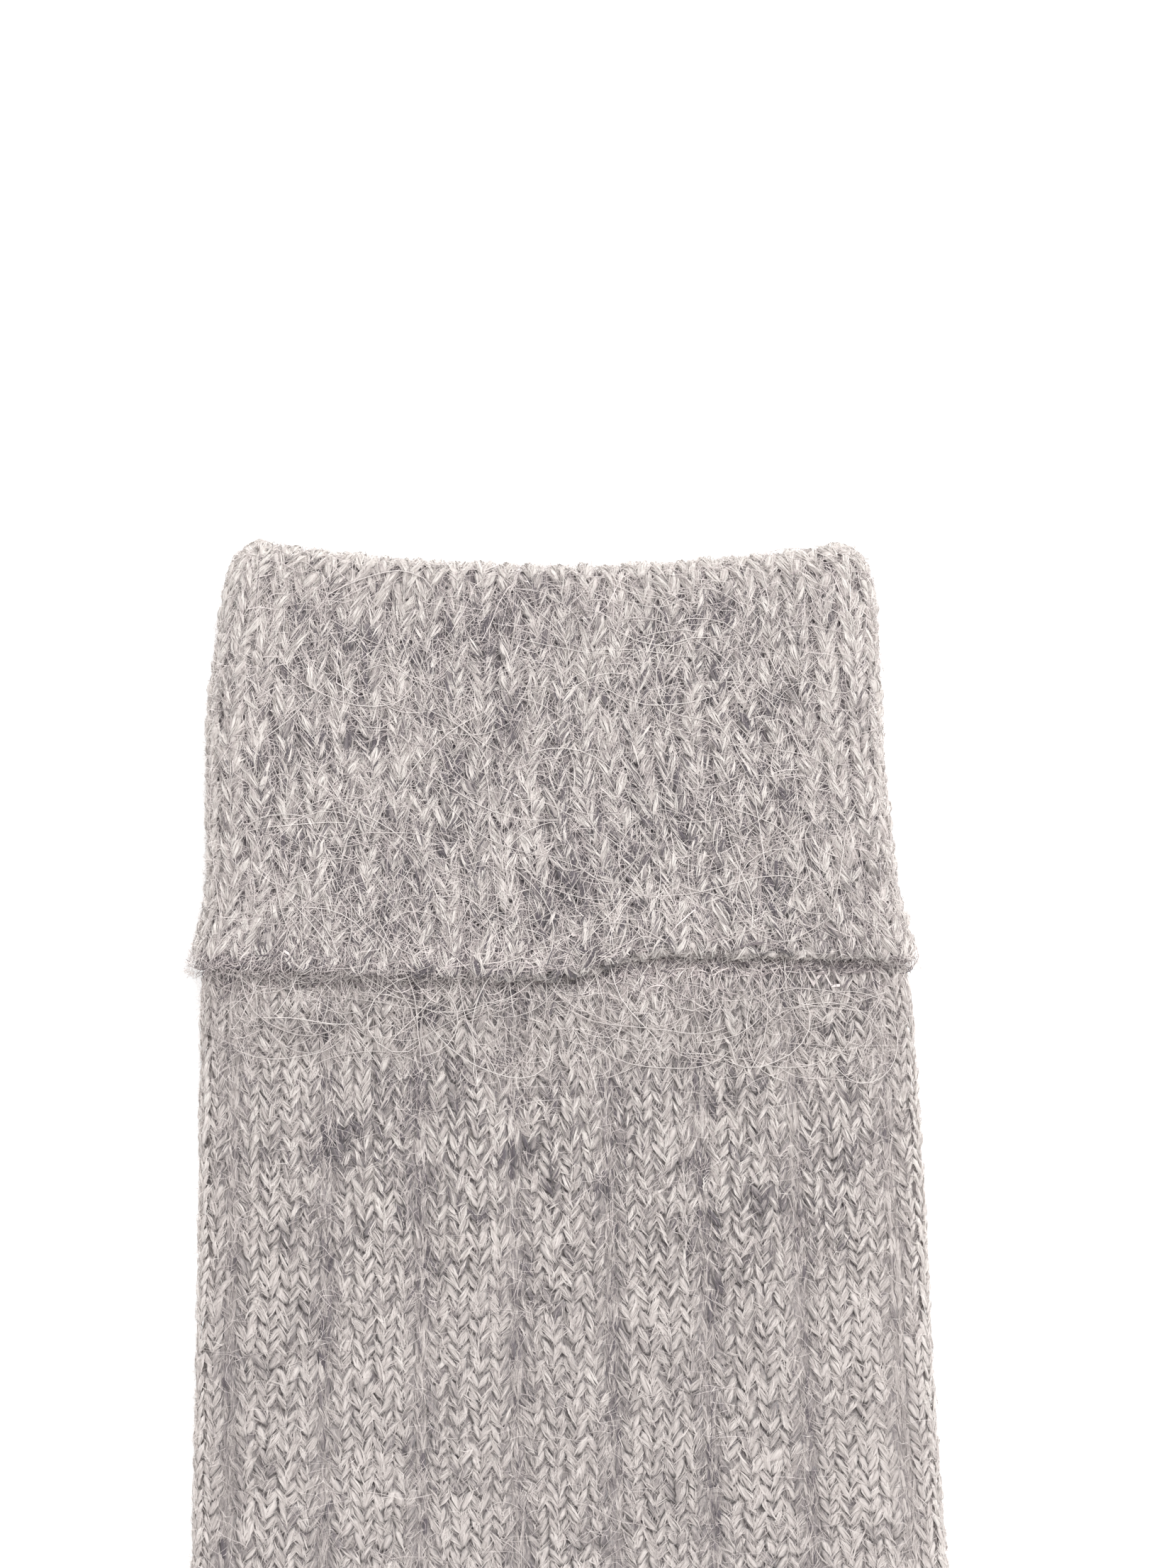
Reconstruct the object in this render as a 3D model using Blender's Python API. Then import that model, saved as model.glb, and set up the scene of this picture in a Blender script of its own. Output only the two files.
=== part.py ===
"""A thick knitted bed sock with a turned-down cuff, laid flat on its side.

The sock lies on the plane z = 0. Its folded top edge faces +Y, and the foot points towards +X and -Y.
Sizes below are in millimetres, and the finished meshes are in metres. The origin is the middle of the
sock's box, on the surface it lies on.

Every piece is a flattened tube of one knitted layer. A ring of points goes once round the tube: it lies
flat along the underside, turns up round one side, crosses the top and turns down round the other side.
"""

import math

import bmesh
import bpy
from mathutils import Vector

METRES = 0.001

# One layer of knitting, and the gaps that keep the layers and the pieces apart
WALL = 2.4
LAYER_GAP = 0.4
SEAM_GAP = 0.3
MOUTH_GAP = 0.6

# A turned edge reaches in at least this far, and at most over this share of the tube's width
SHORTEST_TURN = 1.5
LONGEST_TURN_SHARE = 0.45

# The top panel is this much higher in the middle than at its edges
CROWN = 0.7

# Turned-down cuff: four layers lie on each other, and its hem hangs this far below the fold
CUFF_HEIGHT = 2 * (2 * WALL + LAYER_GAP) + MOUTH_GAP
CUFF_DEPTH = 61.8
FOLD_RADIUS = WALL + LAYER_GAP / 2
TURN_IN = 5.0
LEG_INSET = WALL + LAYER_GAP
LEG_TOP = TURN_IN + SEAM_GAP

# The outline of the cuff seen from above: depth below the fold, left edge, right edge
CUFF_OUTLINE = (
    (0.0, -46.2, 42.9),
    (4.0, -48.0, 45.0),
    (12.0, -49.6, 46.1),
    (24.0, -51.0, 46.6),
    (40.0, -51.2, 47.8),
    (50.0, -51.4, 49.0),
    (56.0, -52.8, 50.6),
    (62.0, -54.4, 52.2),
)

# The folded edge: it rises by so much at its corners, sags by so much between them, and the sag dies
# out over this depth
FOLD_RISE = 1.4
FOLD_SAG = 3.3
FOLD_HALF_WIDTH = 43.0
SAG_DEPTH = 30.0

# How far the hem is pulled up along its length: place across the sock, rise
HEM_RISE = (
    (-54.0, 0.6),
    (-40.0, 0.1),
    (-20.0, -0.3),
    (2.0, 0.0),
    (11.0, 2.9),
    (26.0, 3.2),
    (40.0, 2.9),
    (54.0, 1.6),
)

# Cuff ribs: this many narrow columns go round all but the underside, with a valley before each
CUFF_COLUMNS = 30
CUFF_RIB_CREST = 0.3
CUFF_RIB_VALLEY = -0.6
CUFF_RIB_POINTS = (CUFF_RIB_VALLEY, CUFF_RIB_CREST, CUFF_RIB_CREST)
CUFF_UNDERSIDE_POINTS = 10
CUFF_RING_STEP = 4.8

# The columns sway from side to side, in waves that differ across the cuff, and lean out at the front
# half of the hem
CUFF_SWAY = 0.8
CUFF_SWAY_LENGTH = 41.0
CUFF_SWAY_WAVES = 1.7
CUFF_LEAN = 3.4
CUFF_LEAN_START = 28.0
CUFF_LEAN_SHARES = (0.45, 0.6)

# Leg ribs: furrows run down the top panel between wide flat ribs, at these shares of its width. The
# ones on the sole side end at the heel
FURROWS = 8
FIRST_FURROW = 0.0415
FURROW_PITCH = 0.1306
FURROW_HALF_WIDTH = 1.3
FURROW_DEPTH = 0.6
RIB_CREST = 0.45
SOLE_FURROWS = 4
LEG_SIDE_POINTS = 5
LEG_UNDERSIDE_POINTS = 8

# Below the cuff, the leg comes down to the surface over these depths
DROP_START = 63.0
DROP_END = 75.0

# Depths of the rings where the cuff's inside and the leg's outside lie on each other
HIDDEN_RINGS = (LEG_TOP, 9.0, 15.0, 26.0, 40.0, 50.0, 56.0, 60.0)

# Below the cuff the tube runs through these sections. Each goes from a point on the back of the sock to
# one on its front. The gap is between the two panels, the ribs are 1 where full and 0 where plain, and
# rings is how many there are from this row up to the next.
#   back x, back y, front x, front y, gap, sole-side ribs, instep-side ribs, rings
SECTIONS = (
    (-51.9, -64.0, 49.8, -64.0, 0.8, 0.6, 0.6, 4),
    (-52.3, -76.0, 51.8, -76.0, 0.8, 1.0, 1.0, 2),
    (-52.5, -98.0, 53.3, -98.0, 0.8, 1.0, 1.0, 3),
    (-53.1, -123.0, 54.6, -123.0, 0.9, 1.0, 1.0, 3),
    (-53.6, -148.0, 56.6, -148.0, 1.0, 1.0, 1.0, 3),
    (-54.8, -173.0, 58.6, -163.0, 1.4, 1.0, 1.0, 3),
    (-56.2, -197.0, 60.4, -172.0, 2.0, 0.5, 1.0, 3),
    (-54.2, -217.0, 62.2, -176.5, 2.6, 0.0, 1.0, 3),
    (-45.0, -233.0, 64.2, -180.0, 3.0, 0.0, 1.0, 3),
    (-29.5, -243.0, 66.8, -183.0, 3.0, 0.0, 1.0, 2),
    (-11.0, -251.5, 70.2, -186.2, 2.4, 0.0, 1.0, 2),
    (11.5, -262.5, 76.5, -190.8, 1.6, 0.0, 1.0, 2),
    (37.0, -276.5, 86.0, -197.8, 1.2, 0.0, 1.0, 4),
    (81.0, -301.5, 127.2, -221.6, 1.2, 0.0, 1.0, 3),
    (109.0, -317.5, 155.2, -237.8, 1.2, 0.0, 0.4, 1),
)

# The toe is a rounded end on the foot's last section. Its outline is a superellipse of this power, and
# its seam lies across the tip at these shares of its length and of its height
TOE_LENGTH = 45.0
TOE_POWER = 2.3
TOE_SEAM_SHARE = 0.99
TOE_SEAM_HEIGHT = 0.8
TOE_RINGS = 9
TOE_SIDE_POINTS = 5
TOE_TOP_POINTS = 8

WOOL = (0.49, 0.46, 0.44, 1.0)
WOOL_ROUGHNESS = 0.95


def read_table(rows, place):
    """The columns of a table at a place between its rows, on a smooth curve through them."""
    last = len(rows) - 1
    index = max(i for i in range(last) if i == 0 or rows[i][0] <= place)
    share = (place - rows[index][0]) / (rows[index + 1][0] - rows[index][0])
    return smooth_rows(rows, index, min(max(share, 0.0), 1.0))[1:]


def smooth_rows(rows, index, share):
    """One row of a table, part of the way from a row to the next, by a Catmull-Rom curve."""
    last = len(rows) - 1
    before = rows[max(index - 1, 0)]
    start = rows[index]
    end = rows[min(index + 1, last)]
    after = rows[min(index + 2, last)]
    mixed = []
    for p0, p1, p2, p3 in zip(before, start, end, after):
        bend = 2 * p0 - 5 * p1 + 4 * p2 - p3
        twist = 3 * p1 - p0 - 3 * p2 + p3
        mixed.append(p1 + 0.5 * share * ((p2 - p0) + share * (bend + share * twist)))
    return mixed


def ease(value, low, high):
    """0 below low, 1 above high, and a smooth step between them."""
    share = min(max((value - low) / (high - low), 0.0), 1.0)
    return share * share * (3 - 2 * share)


class Section:
    """A slice through the flattened tube, from a point on the back to a point on the front.

    It lies this high above the surface and is this high itself. An inset moves a ring of the slice
    inwards, to the inside of the wall or to the layer below.
    """

    def __init__(self, back, front, under, height, sole_ribs=0.0, instep_ribs=0.0):
        self.back = Vector(back)
        self.front = Vector(front)
        self.under = under
        self.height = height
        self.sole_ribs = sole_ribs
        self.instep_ribs = instep_ribs

    def measure(self, inset):
        """Width of the inset ring, half its height, and how far its turned edges reach in."""
        width = (self.front - self.back).length - 2 * inset
        half_height = self.height / 2 - inset
        turn = min(max(half_height, SHORTEST_TURN), LONGEST_TURN_SHARE * width)
        return width, half_height, turn

    def raised(self, share, turn_share, inset, relief):
        """A point of the ring above the underside, moved out by its relief.

        The share runs from 0 at the underside, round the back edge, over the top and round the front
        edge to 1. Each turned edge takes turn_share of it.
        """
        width, half_height, turn = self.measure(inset)
        if share < turn_share:
            angle = math.pi * (1.5 - share / turn_share)
            along = turn + turn * math.cos(angle)
        elif share > 1 - turn_share:
            angle = math.pi * (0.5 - (share - 1 + turn_share) / turn_share)
            along = width - turn + turn * math.cos(angle)
        else:
            angle = math.pi / 2
            along = turn + (width - 2 * turn) * (share - turn_share) / (1 - 2 * turn_share)
        upward = max(math.sin(angle), 0.0)
        clear_of_surface = min(1 + math.sin(angle), 1.0)
        crown = CROWN * upward * (1 - (2 * along / width - 1) ** 2)
        level = self.under + inset + half_height * (1 + math.sin(angle)) + crown + relief * upward
        return self.place(along + inset + relief * clear_of_surface * math.cos(angle), level)

    def underside(self, share, inset):
        """A point of the flat underside, between the two turned edges, from the front to the back."""
        width, _, turn = self.measure(inset)
        along = width - turn - (width - 2 * turn) * share
        return self.place(along + inset, self.under + inset)

    def place(self, along, level):
        """A point in space, this far from the back of the slice and this high, in metres."""
        across = (self.front - self.back).normalized()
        spot = self.back + across * along
        shift = fold_sag(spot.x, -spot.y) + hem_rise(spot.x, -spot.y)
        return Vector((spot.x, spot.y + shift, level)) * METRES


def fold_sag(across, depth):
    """How far the folded edge stands above or below its mean line, dying out down the cuff."""
    weight = 1 - ease(depth, 0.0, SAG_DEPTH)
    out = min(abs(across) / FOLD_HALF_WIDTH, 1.0)
    return weight * (FOLD_RISE - FOLD_SAG * (1 - out ** 2))


def hem_rise(across, depth):
    """How far the hem of the cuff is pulled up, growing down the cuff. The leg below it isn't."""
    if depth > DROP_START:
        return 0.0
    return read_table(HEM_RISE, across)[0] * (depth / CUFF_DEPTH) ** 2


def raised_length(height):
    """The length of a ring of this height from the underside, round and over the top to the underside."""
    widest = CUFF_OUTLINE[-1][2] - CUFF_OUTLINE[-1][1]
    return math.pi * height + widest - height


def turned_share(height):
    """The share of a ring's raised length that lies in one turned edge."""
    return math.pi * height / 2 / raised_length(height)


def cuff_sway(share, depth):
    """How far a column of the cuff stands to one side, as a share of the ring's raised length."""
    wave = math.sin(2 * math.pi * (depth / CUFF_SWAY_LENGTH + CUFF_SWAY_WAVES * share))
    lean = CUFF_LEAN * ease(depth, CUFF_LEAN_START, CUFF_DEPTH) * ease(share, *CUFF_LEAN_SHARES)
    free_of_edges = 4 * share * (1 - share)
    return free_of_edges * (CUFF_SWAY * wave + lean) / raised_length(CUFF_HEIGHT)


def cuff_ring(depth, inset, relief_weight):
    """A ring of the cuff. Its columns stand out from valleys between them, except along the underside."""
    left, right = read_table(CUFF_OUTLINE, depth)
    section = Section((left, -depth), (right, -depth), 0.0, CUFF_HEIGHT)
    turn_share = turned_share(CUFF_HEIGHT)
    points = []
    steps = CUFF_COLUMNS * len(CUFF_RIB_POINTS)
    for step in range(steps + 1):
        share = step / steps + cuff_sway(step / steps, depth)
        relief = CUFF_RIB_POINTS[step % len(CUFF_RIB_POINTS)] * relief_weight
        points.append(section.raised(share, turn_share, inset, relief))
    for step in range(1, CUFF_UNDERSIDE_POINTS):
        points.append(section.underside(step / CUFF_UNDERSIDE_POINTS, inset))
    return points


def cuff_rings():
    """Once round the cuff's wall: down outside, round the hem, up inside, and over the fold."""
    hem_radius = WALL / 2
    hem_centre = CUFF_DEPTH - hem_radius
    under_fold = FOLD_RADIUS + LAYER_GAP
    rings = []
    outside_steps = round((hem_centre - FOLD_RADIUS) / CUFF_RING_STEP)
    for step in range(outside_steps + 1):
        depth = FOLD_RADIUS + (hem_centre - FOLD_RADIUS) * step / outside_steps
        rings.append(cuff_ring(depth, 0.0, 1.0))
    for angle in (45, 90, 135):
        turn = math.radians(angle)
        depth = hem_centre + hem_radius * math.sin(turn)
        rings.append(cuff_ring(depth, hem_radius * (1 - math.cos(turn)), 0.5 * (1 + math.cos(turn))))
    for depth in HIDDEN_RINGS[::-1] + (under_fold,):
        rings.append(cuff_ring(depth, WALL, 0.0))
    rings.append(cuff_ring(FOLD_RADIUS, FOLD_RADIUS, 0.0))
    rings.append(cuff_ring(under_fold, LEG_INSET, 0.0))
    rings.append(cuff_ring(TURN_IN, LEG_INSET, 0.0))
    rings.append(cuff_ring(TURN_IN, LEG_INSET + WALL, 0.0))
    rings.append(cuff_ring(FOLD_RADIUS, LEG_INSET + WALL, 0.0))
    for angle in (30, 60, 90, 120, 150):
        turn = math.radians(angle)
        depth = FOLD_RADIUS * (1 - math.sin(turn))
        relief = max(-math.cos(turn), 0.0)
        rings.append(cuff_ring(depth, FOLD_RADIUS * (1 + math.cos(turn)), relief))
    return rings


def leg_ring_plan(turn_share):
    """Share, relief and nearest furrow of each of the leg's points above the underside.

    Each furrow has two lips and a floor, and each rib a crest between its furrows.
    """
    plan = []
    for step in range(LEG_SIDE_POINTS):
        plan.append((turn_share * step / LEG_SIDE_POINTS, 0.0, 0))
    width = CUFF_OUTLINE[-1][2] - CUFF_OUTLINE[-1][1]
    lip = FURROW_HALF_WIDTH / width
    for furrow in range(FURROWS):
        middle = FIRST_FURROW + FURROW_PITCH * furrow
        marks = [(middle - lip, RIB_CREST), (middle, -FURROW_DEPTH), (middle + lip, RIB_CREST)]
        if furrow < FURROWS - 1:
            marks.append((middle + FURROW_PITCH / 2, RIB_CREST))
        for across, relief in marks:
            share = turn_share + (1 - 2 * turn_share) * min(max((across - lip) / (1 - 2 * lip), 0.0), 1.0)
            plan.append((share, relief, furrow))
    for step in range(1, LEG_SIDE_POINTS + 1):
        plan.append((1 - turn_share + turn_share * step / LEG_SIDE_POINTS, 0.0, FURROWS - 1))
    return plan


def leg_ring(section, inset):
    """A ring of the leg or the foot. Its ribs are raised outside, and its inside is plain."""
    turn_share = turned_share(2 * WALL + MOUTH_GAP)
    points = []
    for share, relief, furrow in leg_ring_plan(turn_share):
        ribs = section.sole_ribs if furrow < SOLE_FURROWS else section.instep_ribs
        outside_relief = relief * ribs if inset == 0 else 0.0
        points.append(section.raised(share, turn_share, inset, outside_relief))
    for step in range(1, LEG_UNDERSIDE_POINTS):
        points.append(section.underside(step / LEG_UNDERSIDE_POINTS, inset))
    return points


def leg_and_foot_sections():
    """Slices from the top of the leg, hidden in the cuff, past the heel to the end of the foot."""
    sections = []
    for depth in HIDDEN_RINGS:
        left, right = read_table(CUFF_OUTLINE, depth)
        back = (left + LEG_INSET, -depth)
        front = (right - LEG_INSET, -depth)
        sections.append(Section(back, front, LEG_INSET, 2 * WALL + MOUTH_GAP))
    for index, row in enumerate(SECTIONS):
        rings = row[-1]
        for ring in range(rings):
            mixed = smooth_rows(SECTIONS, index, ring / rings)
            back_x, back_y, front_x, front_y, gap, sole_ribs, instep_ribs = mixed[:-1]
            under = LEG_INSET * (1 - ease(-back_y, DROP_START, DROP_END))
            height = 2 * WALL + gap
            sections.append(
                Section((back_x, back_y), (front_x, front_y), under, height, sole_ribs, instep_ribs)
            )
    return sections


def leg_and_foot_rings():
    """Down the outside from the top of the leg to the end of the foot, and back up the inside."""
    sections = leg_and_foot_sections()
    inside = sections[:1] + sections[1:-1][::2] + sections[-1:]
    outer = [leg_ring(section, 0.0) for section in sections]
    inner = [leg_ring(section, WALL) for section in reversed(inside)]
    return outer + inner


def toe_section(distance, inset):
    """A slice of the toe, this far beyond the end of the foot. It narrows to the seam at the tip."""
    back_x, back_y, front_x, front_y, gap = SECTIONS[-1][:5]
    back = Vector((back_x, back_y))
    front = Vector((front_x, front_y))
    across = (front - back).normalized()
    forward = Vector((across.y, -across.x))
    share = (distance - SEAM_GAP) / (TOE_LENGTH - inset)
    narrowing = (1 - share ** TOE_POWER) ** (1 / TOE_POWER)
    half_width = ((front - back).length / 2 - inset) * narrowing + inset
    middle = (back + front) / 2 + forward * distance
    height = (2 * WALL + gap) * (1 - (1 - TOE_SEAM_HEIGHT) * share ** 3)
    return Section(middle - across * half_width, middle + across * half_width, 0.0, height)


def toe_ring(distance, inset):
    """A plain ring of the toe."""
    section = toe_section(distance, inset)
    turn_share = turned_share(section.height)
    turn_step = turn_share / TOE_SIDE_POINTS
    top_step = (1 - 2 * turn_share) / TOE_TOP_POINTS
    shares = [turn_step * step for step in range(TOE_SIDE_POINTS)]
    shares += [turn_share + top_step * step for step in range(TOE_TOP_POINTS)]
    shares += [1 - turn_share + turn_step * step for step in range(TOE_SIDE_POINTS + 1)]
    points = [section.raised(share, turn_share, inset, 0.0) for share in shares]
    for step in range(1, TOE_TOP_POINTS):
        points.append(section.underside(step / TOE_TOP_POINTS, inset))
    return points


def toe_rings():
    """From the tip inside, out to the seam with the foot, and over the outside to the tip."""
    places = [math.sin(math.pi / 2 * step / TOE_RINGS) for step in range(TOE_RINGS + 1)]
    inner_reach = (TOE_LENGTH - WALL) * TOE_SEAM_SHARE
    outer_reach = TOE_LENGTH * TOE_SEAM_SHARE
    inner = [toe_ring(SEAM_GAP + inner_reach * place, WALL) for place in reversed(places)]
    outer = [toe_ring(SEAM_GAP + outer_reach * place, 0.0) for place in places]
    return inner + outer


def knit_tube(rings, closed):
    """Faces between rings. A closed wall comes back to its first ring, and an open one is capped."""
    mesh = bmesh.new()
    loops = [[mesh.verts.new(point) for point in ring] for ring in rings]
    count = len(loops[0])
    bands = len(loops) if closed else len(loops) - 1
    for band in range(bands):
        near = loops[band]
        far = loops[(band + 1) % len(loops)]
        for i in range(count):
            j = (i + 1) % count
            mesh.faces.new((near[i], near[j], far[j], far[i]))
    if not closed:
        mesh.faces.new(loops[0])
        mesh.faces.new(loops[-1])
    bmesh.ops.recalc_face_normals(mesh, faces=mesh.faces)
    return mesh


def wool_material(name):
    """Matt heather-grey wool."""
    material = bpy.data.materials.new(name)
    material.use_nodes = True
    shader = material.node_tree.nodes["Principled BSDF"]
    shader.inputs["Base Color"].default_value = WOOL
    shader.inputs["Roughness"].default_value = WOOL_ROUGHNESS
    shader.inputs["Metallic"].default_value = 0.0
    return material


def box_middle(meshes):
    """The middle of the box round all the pieces, on the surface they lie on."""
    spots = [vert.co for mesh in meshes for vert in mesh.verts]
    middle_x = (min(spot.x for spot in spots) + max(spot.x for spot in spots)) / 2
    middle_y = (min(spot.y for spot in spots) + max(spot.y for spot in spots)) / 2
    return Vector((middle_x, middle_y, 0.0))


def add_piece(name, mesh, origin):
    """A named object of its own material, with the sock's origin at the world's."""
    bmesh.ops.translate(mesh, verts=mesh.verts, vec=-origin)
    data = bpy.data.meshes.new(name)
    mesh.to_mesh(data)
    mesh.free()
    data.shade_smooth()
    data.materials.append(wool_material(name + "_wool"))
    piece = bpy.data.objects.new(name, data)
    bpy.context.scene.collection.objects.link(piece)
    return piece


def main():
    """Clear the scene, then knit the pieces and set them in place."""
    for leftover in list(bpy.data.objects):
        bpy.data.objects.remove(leftover, do_unlink=True)
    pieces = {
        "turned_cuff": knit_tube(cuff_rings(), closed=True),
        "leg_and_foot": knit_tube(leg_and_foot_rings(), closed=True),
        "toe": knit_tube(toe_rings(), closed=False),
    }
    origin = box_middle(pieces.values())
    for name, mesh in pieces.items():
        add_piece(name, mesh, origin)


main()
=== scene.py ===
import math

import bmesh
import bpy
import numpy as np
from mathutils import Matrix, Vector
from mathutils.bvhtree import BVHTree


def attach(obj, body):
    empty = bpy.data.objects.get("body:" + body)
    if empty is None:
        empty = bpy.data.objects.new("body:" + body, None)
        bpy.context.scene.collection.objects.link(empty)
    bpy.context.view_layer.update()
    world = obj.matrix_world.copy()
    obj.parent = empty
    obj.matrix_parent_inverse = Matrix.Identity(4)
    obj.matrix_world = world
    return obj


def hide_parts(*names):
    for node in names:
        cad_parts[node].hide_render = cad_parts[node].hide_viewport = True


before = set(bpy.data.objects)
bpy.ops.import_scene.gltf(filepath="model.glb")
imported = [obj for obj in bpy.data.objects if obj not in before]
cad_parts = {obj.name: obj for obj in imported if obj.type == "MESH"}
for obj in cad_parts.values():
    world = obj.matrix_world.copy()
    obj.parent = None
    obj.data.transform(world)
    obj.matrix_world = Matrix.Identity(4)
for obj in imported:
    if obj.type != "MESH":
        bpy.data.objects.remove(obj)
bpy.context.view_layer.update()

# Sizes are in millimetres, on the sock as it lies: x across it, y down from the fold as a minus, z up.
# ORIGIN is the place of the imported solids' origin on that plan.
METRES = 0.001
ORIGIN = (61.48, -161.82)

# The photo's frame, in pixels, its scale, and the pixel that the plan's zero lies on
PHOTO_WIDTH, PHOTO_HEIGHT = 1659, 2212
MM_PER_PIXEL = 0.103
ZERO_PIXEL = (790, 780)
CAMERA_HEIGHT = 1.7
SENSOR = 36.0

# Nothing of the cloth goes lower than this, so that it lies on the floor
LOWEST = 0.03

# Layers of the solids: one wall, the gaps, and the cuff folded over the leg
WALL = 2.4
LAYER_GAP = 0.4
MOUTH_GAP = 0.6
SHORTEST_TURN = 1.5
CUFF_HEIGHT = 2 * (2 * WALL + LAYER_GAP) + MOUTH_GAP
CUFF_DEPTH = 61.8
FOLD_RADIUS = WALL + LAYER_GAP / 2
TURN_IN = 5.0
LEG_INSET = WALL + LAYER_GAP
LEG_WIDTH = 104.0
LEG_HEIGHT = 2 * WALL + 1.0
CROWN = 0.7

# The cuff's way: rows in the mouth, degrees of turn from row to row in the fold and in the hem, the
# number of rows in the hem, and millimetres from row to row between them
MOUTH_ROWS = 4
FOLD_TURN = 7.5
HEM_TURN = 10
HEM_ROWS = 13
CUFF_STEP = 1.0

# depth below the fold, left edge, right edge
CUFF_OUTLINE = (
    (0.0, -46.2, 42.9),
    (4.0, -48.0, 45.0),
    (12.0, -49.6, 46.1),
    (24.0, -51.0, 46.6),
    (40.0, -51.2, 47.8),
    (50.0, -51.4, 49.0),
    (56.0, -52.8, 50.6),
    (62.0, -54.4, 52.2),
)
FOLD_RISE = 1.4
FOLD_SAG = 3.3
FOLD_HALF_WIDTH = 43.0
SAG_DEPTH = 30.0

# place across the sock, rise of the hem
HEM_RISE = (
    (-54.0, 0.6),
    (-40.0, 0.1),
    (-20.0, -0.3),
    (2.0, 0.0),
    (11.0, 2.9),
    (26.0, 3.2),
    (40.0, 2.9),
    (54.0, 1.6),
)
DROP_START = 63.0
DROP_END = 75.0

# back x, back y, front x, front y, gap between the panels, sole-side ribs, instep-side ribs
SECTIONS = (
    (-50.0, -56.0, 47.8, -56.0, 0.6, 0.0, 0.0),
    (-51.1, -60.0, 48.9, -60.0, 0.6, 0.2, 0.2),
    (-52.1, -64.0, 50.9, -64.0, 0.8, 0.6, 0.6),
    (-52.3, -76.0, 52.0, -76.0, 0.8, 1.0, 1.0),
    (-52.5, -98.0, 53.3, -98.0, 0.8, 1.0, 1.0),
    (-53.1, -123.0, 54.6, -123.0, 0.9, 1.0, 1.0),
    (-53.6, -148.0, 56.6, -148.0, 1.0, 1.0, 1.0),
    (-54.8, -173.0, 58.6, -163.0, 1.4, 1.0, 1.0),
    (-56.2, -197.0, 60.4, -172.0, 2.0, 0.5, 1.0),
    (-54.2, -217.0, 62.2, -176.5, 2.6, 0.0, 1.0),
    (-45.0, -233.0, 64.2, -180.0, 3.0, 0.0, 1.0),
    (-29.5, -243.0, 66.8, -183.0, 3.0, 0.0, 1.0),
    (-11.0, -251.5, 70.2, -186.2, 2.4, 0.0, 1.0),
    (11.5, -262.5, 76.5, -190.8, 1.6, 0.0, 1.0),
    (37.0, -276.5, 86.0, -197.8, 1.2, 0.0, 1.0),
    (81.0, -301.5, 127.2, -221.6, 1.2, 0.0, 1.0),
    (109.0, -317.5, 155.2, -237.8, 1.2, 0.0, 0.4),
)
STATIONS_PER_SECTION = 14
TOE_LENGTH = 45.0
TOE_POWER = 2.3
TOE_SEAM_SHARE = 0.99
TOE_SEAM_HEIGHT = 0.8
TOE_STATIONS = 44
TOE_COLUMNS = 56
MOST_TOE_ROWS = 60
# the toe closes round its seam: millimetres ahead, share of the width, share of the height
TOE_CLOSING = ((0.45, 0.95, 0.82), (0.85, 0.82, 0.5), (1.05, 0.6, 0.25))
AROUND_STEPS = 480

# Knitting: stitches of the ribbed leg, and of the cuff. Columns of the leg are shares of a repeat of four
# knit columns and one furrow, and rows start a little higher or lower from column to column.
LEG_REPEATS = 16
KNIT_COLUMN = 0.2121
PURL_COLUMN = 0.1516
LEG_ROW = 1.98
LEG_ROW_SHIFT = 0.08
CUFF_ROW = 2.03
CUFF_ROW_SHIFT = 0.25
CUFF_COLUMNS = 30
CUFF_UNDER_COLUMNS = 22
CUFF_SWAY = 0.8
CUFF_SWAY_LENGTH = 41.0
CUFF_SWAY_WAVES = 1.7
CUFF_LEAN = 3.4
CUFF_LEAN_START = 28.0
CUFF_LEAN_SHARES = (0.45, 0.6)

# The knitted layer that the stitches lie on, below the outline of the solids
BACKING_DEPTH = 1.15
BACKING_WALL = 1.0
TOE_BACKING_WALL = 0.45

# Tones of the yarn are steps from its usual grey, 0: the palest wool is 0.3 up, and near-black is 0.4 down.
# A shade darkens them and a light makes them paler, near the fold, the sides, the hem and the furrows,
# within a reach in millimetres. Both are painted: a painted shadow along the hem, painted shade in the
# furrows, and painted light on faces that lean away from the lamps, at the fold and round the sides.
# The lower leg is made a little darker. A calm is the share of the speckles that is missing there.
HEM_SHADE = 0.085
HEM_REACH = 2.6
PLAIN_FURROW_SHADE = 0.05
FURROW_SHADE = 0.12
LOWER_START, LOWER_END = 84.0, 118.0
LOWER_SHADE = 0.085
LOWER_CALM = 0.55
FOLD_LIGHT = 0.17
FOLD_REACH = 5.5
FOLD_CALM = 0.75
SIDE_REACH = 11.0
SIDE_CALM_SHARE = 0.6
LEAST_SPECKLE = 0.15
EDGE_LIGHT = 0.32
DARK_LIMB_SHADE = 0.11

# Speckles lie in patches of three sizes, in millimetres, each with its weight. The darkest gather in
# small clusters. Below a height lies the under face, with patches of its own.
PATCHES = ((3.5, 1.0), (9.0, 0.7), (20.0, 0.25))
PATCH_WAVES = 28
CLUSTER = 1.0
UNDER_FACE = 2.0

# By how much one limb differs from the next, as spreads of its place, in stitches, and of its sizes
JITTER = {"aside": 0.035, "along": 0.09, "length": 0.12, "spread": 0.16, "thick": 0.13, "lift": 0.09}

# How deep the leg is brushed, and a little below the photo's frame, where wrapped fibres end
BRUSHED_DEPTH = 106.0
FRAMED_DEPTH = 152.0

# Hairs: the share that starts on the cuff, how often a path is drawn, how often the ground under a hair is
# smoothed and how far it may sink each time, and how deep hairs and their roots lie
CUFF_HAIR_SHARE = 0.55
HAIR_TRIES = 12
HAIR_SMOOTHINGS = 3
HAIR_SINK = 0.4
HAIR_DIP = 0.1
ROOT_SINK = 0.8

# The sock's reach down the plan
SOCK_LENGTH = 340

dice = np.random.default_rng(7)


# ---------------------------------------------------------------- the cloth's form

def ease(value, low, high):
    """0 below low, 1 above high, and a smooth step between them."""
    share = np.clip((value - low) / (high - low), 0.0, 1.0)
    return share * share * (3 - 2 * share)


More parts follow.
